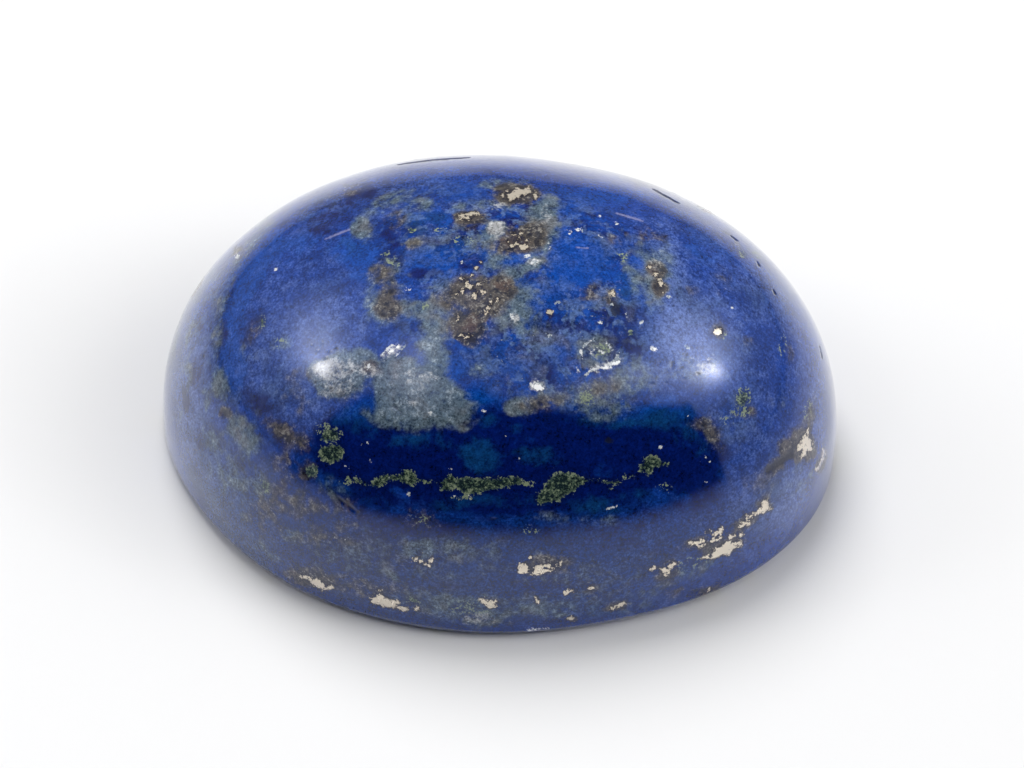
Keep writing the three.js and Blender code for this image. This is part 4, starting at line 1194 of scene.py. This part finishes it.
def stone_material(name, polished):
    mat = bpy.data.materials.new(name)
    mat.use_nodes = True
    nt = mat.node_tree
    nt.nodes.clear()
    p = Paint(nt)
    warped = p.shifted(0.22, 1.7, 2.0)
    gentle = p.shifted(0.35, 0.8, 1.0)
    large = p.signed(0.55, 2.0, 0.6, warped)
    mott = p.signed(1.3, 4.0, 0.64, warped)
    mott2 = p.signed(2.0, 3.0, 0.66, gentle)
    grain = p.signed(3.7, 3.0, 0.85)
    fine = p.signed(11.0, 1.0, 0.8)
    soft1 = p.signed(0.95, 2.0, 0.6, gentle)
    soft2 = p.signed(2.1, 2.0, 0.6, gentle)
    soft3 = p.signed(1.7, 2.0, 0.6, warped)
    crystal = p.cells(4.4, warped, output="Color") - 0.5

    def patchy(name, noise, lo, hi):
        """How much of a cloud shows: ragged where it fades, and nothing outside it."""
        f = p.field(name)
        return (f * 1.40 + noise * f.smooth(0.0, 0.22)).smooth(lo, hi)

    # the blues
    royal = (p.field("royal") * 1.4 + soft1 * 0.35 + soft2 * 0.25 + grain * 0.12).smooth(0.20, 0.80)
    violet = (large * 0.8 + mott2 * 0.35 + crystal * 0.15).smooth(-0.25, 0.45)
    col = p.mix(BLUE, VIOLET, violet)
    col = p.mix(col, FRONT_BLUE, p.field("front") * 0.85)
    col = p.mix(col, ROYAL, royal * 0.9)
    # pale grey-blue: cloud in the rock, and painted sheen where the tent reflects in the polish at the glows, the rims
    # and above the dark window
    haze_and_sheen = (p.field("haze_and_sheen") * 1.15 + grain * 0.16 + fine * 0.28 + mott * 0.26 + soft2 * 0.26).smooth(0.0, 1.30)
    haze_and_sheen = haze_and_sheen * (1.0 - royal * 0.45)
    pale = p.mix(GREYBLUE, LAVENDER, (large * 0.8 + p.field("front") * -0.9).smooth(-0.7, 0.1))
    col = p.mix(col, pale, haze_and_sheen * 0.9)
    busy = p.field("busy") * (1.0 - p.field("royal")).max(0.1)
    col = p.mix(col, NAVY, (soft2 * 1.1 + grain * 0.25).smooth(-0.05, 0.40) * busy * 0.9)
    col = p.mix(col, ROYAL, (soft1 * 1.1 + grain * 0.2).smooth(-0.05, -0.40) * busy * 0.9)
    # navy patches of the rock, and over the dark window painted shade
    navy = patchy("navy", soft2 * 0.50 + soft1 * 0.25, 0.10, 1.00)
    col = p.mix(col, NAVY, navy)
    teal = patchy("teal", soft2 * 0.5 + grain * 0.12, 0.10, 1.25)
    col = p.mix(col, TEAL, teal * 0.85)
    blots = (mott * 0.8 + crystal * 0.5 + grain * 0.4).smooth(0.45, 1.0) * (1.0 - p.field("navy") * 0.8)
    col = p.mix(col, INK, blots * 0.45)

    veil = (soft3 * 1.2 + soft1 * 0.3 + grain * 0.18).smooth(-0.04, 0.42) * busy
    col = p.mix(col, VEIL, veil * 0.85)

    # clouds of calcite and, over them, brown stains
    cloud = p.field("calcite")
    extra = (soft1 * 1.2 + mott2 * 0.2).smooth(0.05, 0.60) * busy * 0.5
    calcite = patchy("calcite", soft2 * 0.45 + soft1 * 0.40 + grain * 0.14, 0.04, 1.12).max(extra)
    shade = mott * 0.45 + soft2 * 0.45 + grain * 0.25 + fine * 0.25 + cloud * 0.5
    chalk = p.mix(CALCITE_DARK, CALCITE, shade.smooth(-0.50, 0.50))
    chalk = p.mix(chalk, CALCITE_LIGHT, shade.smooth(0.55, 1.4))
    chalk = p.mix(chalk, BEIGE, (p.field("brown") * 1.2 + soft1 * 0.7 + busy * 0.15).smooth(0.0, 0.8) * 0.7)
    col = p.mix(col, chalk, calcite * 0.92)
    extra = (soft2 * 1.2 + mott * 0.2).smooth(-0.28, -0.65) * busy * 0.3
    brown = patchy("brown", soft1 * 0.50 + soft2 * 0.45 + grain * 0.16, 0.02, 1.10).max(extra)
    stain = p.mix(BROWN_DARK, BROWN, (mott2 * 0.8 + soft2 * 0.5 + grain * 0.5).smooth(-0.40, 0.25))
    stain = p.mix(stain, RUST, (p.field("rust") + mott2 * 0.5).smooth(0.2, 0.8) * 0.8)
    stain = p.mix(stain, BROWN_LIGHT, (grain * 0.8 + fine * 0.8 + mott * 0.3).smooth(0.35, 0.9) * 0.8)
    col = p.mix(col, stain, brown * 0.94)
    # chalky calcite cores; on the glints this white is painted highlight
    cream = patchy("chalk", grain * 0.40 + mott2 * 0.25, 0.28, 1.15)
    col = p.mix(col, CHALK_AND_GLINT, cream * 0.85)

    # grain of the rock: darker and lighter crystals a few hundredths of a millimetre wide
    col = p.times(col, (mott * 0.20 + grain * 0.32 + fine * (p.field("front") * 0.45 + 0.48) + 1.0).max(0.3) * 0.95)
    gate = p.field("pepper").max((mott + large * 0.5).smooth(0.0, 0.7) * 0.6)
    jitter = p.shifted(0.06, 9.0, 1.0)
    pepper = (p.cells(8.0, jitter) - gate * 0.12).smooth(0.12, 0.03) * gate
    col = p.mix(col, INK, pepper * 0.8)
    # pale speckle: calcite grains, and on the glints painted highlight
    gate = p.field("salt").max(mott2.smooth(0.10, 0.5) * (busy * 0.8 + 0.1))
    salt = (p.cells(5.5, jitter) - gate * 0.10).smooth(0.10, 0.03) * gate
    col = p.mix(col, CALCITE_LIGHT, salt * 0.9)

    # grains
    dark = (p.field("dark") + grain * 2.4 + fine * 1.3).smooth(-0.8, 1.6)
    dark = dark.max((p.field("slit") + grain * 1.0 + fine * 0.8).smooth(-1.0, 0.4))
    col = p.mix(col, SOOT, dark * 0.85)
    green_d = p.field("green") + grain * 2.2 + fine * 1.8
    specks = (grain * 0.9 + fine * 0.8 + p.field("leafy") * 0.6 - 0.65).smooth(0.0, 0.25)
    green = green_d.smooth(-0.2, 1.9).max(specks * p.field("leafy").smooth(0.1, 0.5))
    crumbs = grain * 0.9 + fine * 0.9 + green_d.smooth(3.2, 0.6) * 0.45 - 0.10
    leaf = p.mix(GREEN_DARK, GREEN, crumbs.smooth(-0.35, 0.20))
    leaf = p.mix(leaf, GREEN_PALE, crumbs.smooth(0.28, 0.95))
    col = p.mix(col, INK, green_d.smooth(-3.0, -0.8) * 0.4)
    col = p.mix(col, leaf, green)
    # white calcite grains; on the glints this white is painted highlight
    white = (p.field("white") + grain * 1.5 + fine * 0.8 - 0.1).smooth(-0.3, 0.7)
    col = p.mix(col, p.mix(CALCITE_LIGHT, WHITE, (mott * 0.8 + fine * 0.5).smooth(-0.45, 0.25)), white)
    # painted highlight: pure white on the glints of the softboxes and along the lit arris
    painted_highlight = (p.field("painted_highlight") + grain * 1.3 + fine * 0.8).smooth(-0.4, 0.8)
    col = p.mix(col, (1.0, 1.0, 1.0), painted_highlight)
    scratch = (p.field("scratch") + fine * 0.5).smooth(-0.7, 0.6)
    col = p.mix(col, (0.24, 0.25, 0.46), scratch * 0.75)
    cracks = p.signed(3.1, 1.0, 0.5, jitter).op("ABSOLUTE").smooth(0.035, 0.0)
    metal_d = p.field("pyrite") + grain * 1.9 + fine * 1.0 - cracks * 2.4 + 0.35
    metal = metal_d.smooth(-0.35, 0.35)
    rim = (p.field("pyrite") + grain * 1.5).smooth(-2.8, -0.6)
    col = p.mix(col, (0.018, 0.013, 0.012), rim * 0.8)
    gold = p.mix(PYRITE_EDGE, PYRITE, (metal_d + fine * 0.8).smooth(-0.2, 0.9))
    col = p.mix(col, gold, metal)

    # finish
    rough = (grain * 0.05 + 0.20 + brown * 0.12 + calcite * 0.05 + dark * 0.12).max(0.08)
    if not polished:
        rough = rough + 0.28
    bsdf = nt.nodes.new("ShaderNodeBsdfPrincipled")
    out = nt.nodes.new("ShaderNodeOutputMaterial")
    nt.links.new(bsdf.outputs[0], out.inputs["Surface"])
    nt.links.new(col.s, bsdf.inputs["Base Color"])
    nt.links.new((metal * 0.5).s, bsdf.inputs["Metallic"])
    nt.links.new(rough.s, bsdf.inputs["Roughness"])
    bsdf.inputs["IOR"].default_value = 1.5
    bsdf.inputs["Specular IOR Level"].default_value = 0.45
    bsdf.inputs["Specular Tint"].default_value = (0.05, 0.25, 1.0, 1.0)
    if polished:
        bsdf.inputs["Coat Weight"].default_value = 1.0
        bsdf.inputs["Coat Roughness"].default_value = 0.04
        bsdf.inputs["Coat IOR"].default_value = 1.5

    height = grain * 1.6 + fine * 0.4
    bump = nt.nodes.new("ShaderNodeBump")
    bump.inputs["Strength"].default_value = 1.0
    bump.inputs["Distance"].default_value = 1.2e-6
    nt.links.new(height.s, bump.inputs["Height"])
    nt.links.new(bump.outputs[0], bsdf.inputs["Normal"])
    return mat


mesh.materials.append(stone_material("lapis_polished", True))
mesh.materials.append(stone_material("lapis_sawn_back", False))
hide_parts("lapis_cabochon")
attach(stone, "root")

# ======================================================================================
# Floor, light tent and camera
# ======================================================================================
floor_mesh = bpy.data.meshes.new("floor")
floor_mesh.from_pydata(
    [(-0.1, -0.1, 0), (0.1, -0.1, 0), (0.1, 0.1, 0), (-0.1, 0.1, 0)], [], [(0, 1, 2, 3)]
)
floor = bpy.data.objects.new("floor", floor_mesh)
bpy.context.scene.collection.objects.link(floor)
paper = bpy.data.materials.new("paper_floor")
paper.use_nodes = True
ft = paper.node_tree
b = ft.nodes["Principled BSDF"]
b.inputs["Base Color"].default_value = (0.80, 0.80, 0.805, 1)
b.inputs["Roughness"].default_value = 0.9
b.inputs["Specular IOR Level"].default_value = 0.0
fc = ft.nodes.new("ShaderNodeTexCoord")
fr = ft.nodes.new("ShaderNodeVectorMath")
fr.operation = "LENGTH"
ft.links.new(fc.outputs["Object"], fr.inputs[0])
ft.links.new(N(ft, fr.outputs["Value"]).smooth(0.066, 0.020).s, b.inputs["Alpha"])
floor_mesh.materials.append(paper)

# The light is a white tent all round, with two softboxes and a dark front. A wide panel
# overhead lifts the paper to white.
WHITE_TABLE = 0.985
panel = bpy.data.lights.new("panel", "AREA")
panel.shape = "DISK"
panel.size = 0.4
panel.energy = 2.95
panel_object = bpy.data.objects.new("panel", panel)
panel_object.location = (-0.12, 0.3, 0.55)
panel_object.rotation_euler = Vector((-0.12, 0.3, 0.55)).to_track_quat("Z", "Y").to_euler()
panel_object.visible_glossy = False
bpy.context.scene.collection.objects.link(panel_object)
world = bpy.data.worlds.new("tent")
bpy.context.scene.world = world
world.use_nodes = True
wt = world.node_tree
wt.nodes.clear()
wc = wt.nodes.new("ShaderNodeTexCoord")
sep = wt.nodes.new("ShaderNodeSeparateXYZ")
wt.links.new(wc.outputs["Generated"], sep.inputs[0])
wx, wy, wz = (N(wt, sep.outputs[i]) for i in range(3))
ca, sa = math.cos(AZIMUTH), math.sin(AZIMUTH)
across = wx * ca + wy * sa
toward = wx * sa - wy * ca
az = across.op("ARCTAN2", toward) * (180 / math.pi)
el = wz.op("ARCSINE") * (180 / math.pi)


def lamp(a0, e0, wa, we, power):
    da, de = (az - a0) / wa, (el - e0) / we
    return ((da * da + de * de) * -1.0).op("EXPONENT") * power


side = az.op("ABSOLUTE")
tent = side.smooth(180, 100) * 0.24 + 0.15
tent = tent + lamp(76, 33, 9, 6, 3.6) + lamp(82, 39, 27, 13, 4.1) + lamp(48, 49, 14, 6, 1.6)
tent = tent + lamp(79.5, 31.5, 5, 3.2, 9.0) + lamp(-91, 35, 4, 2.2, 11.0)
tent = tent + lamp(-98, 36, 9, 7, 2.6) + lamp(-104, 36, 22, 12, 1.6) + lamp(-60, 55, 15, 5, 2.5)
tent = tent + lamp(-84, 61, 14, 6, 1.8) + lamp(-118, 70, 45, 7, 0.8)
tent = tent * (1.0 - el.smooth(66, 80) * 0.45)
line = ((el / 1.5) * (el / 1.5) * -1.0).op("EXPONENT") * side.smooth(54, 66) * 0.45
dip = el.smooth(6.0, 3.0) * el.smooth(-8.0, -2.5) * side.smooth(88, 98) * 0.28 + line
front_top = az.curve(
    [(-72, 45), (-60, 43), (-48, 41), (-38, 45), (-28, 57), (-20, 61), (-10, 58), (0, 54), (12, 49), (24, 43), (36, 38), (46, 31), (56, 27)],
    -72,
    56,
)
in_front = az.smooth(-71.0, -67.0) * az.smooth(56.0, 53.0) * (el - front_top).smooth(3.0, -3.0)
tent = tent * (1.0 - in_front)
below = el.smooth(0.5, -1.0)
ground = el.smooth(-2.0, -14.0) * 0.22 + 0.50
ground = ground * (1.0 - in_front * el.smooth(-6.0, -0.5))
tent = (tent * (1.0 - below) + ground * below) * (1.0 - dip)
lp = wt.nodes.new("ShaderNodeLightPath")
camera_ray = N(wt, lp.outputs["Is Camera Ray"])
tent = tent * (1.0 - camera_ray) + camera_ray * WHITE_TABLE
bg = wt.nodes.new("ShaderNodeBackground")
wo = wt.nodes.new("ShaderNodeOutputWorld")
wt.links.new(tent.s, bg.inputs["Strength"])
bg.inputs["Color"].default_value = (1, 1, 1, 1)
wt.links.new(bg.outputs[0], wo.inputs["Surface"])

cam_data = bpy.data.cameras.new("camera")
cam_data.lens = LENS
cam_data.sensor_width = 36
cam_data.clip_start = 0.01
cam_data.clip_end = 50
camera = bpy.data.objects.new("camera", cam_data)
bpy.context.scene.collection.objects.link(camera)
rot = Matrix([[RIGHT[i], UPWARD[i], BACKWARD[i]] for i in range(3)]).to_4x4()
camera.matrix_world = Matrix.Translation(Vector(CAM / 1000)) @ rot
bpy.context.scene.camera = camera

bpy.context.scene.view_settings.view_transform = "Standard"
bpy.context.scene.view_settings.look = "None"

bpy.context.view_layer.update()
print("triangles", len(faces))
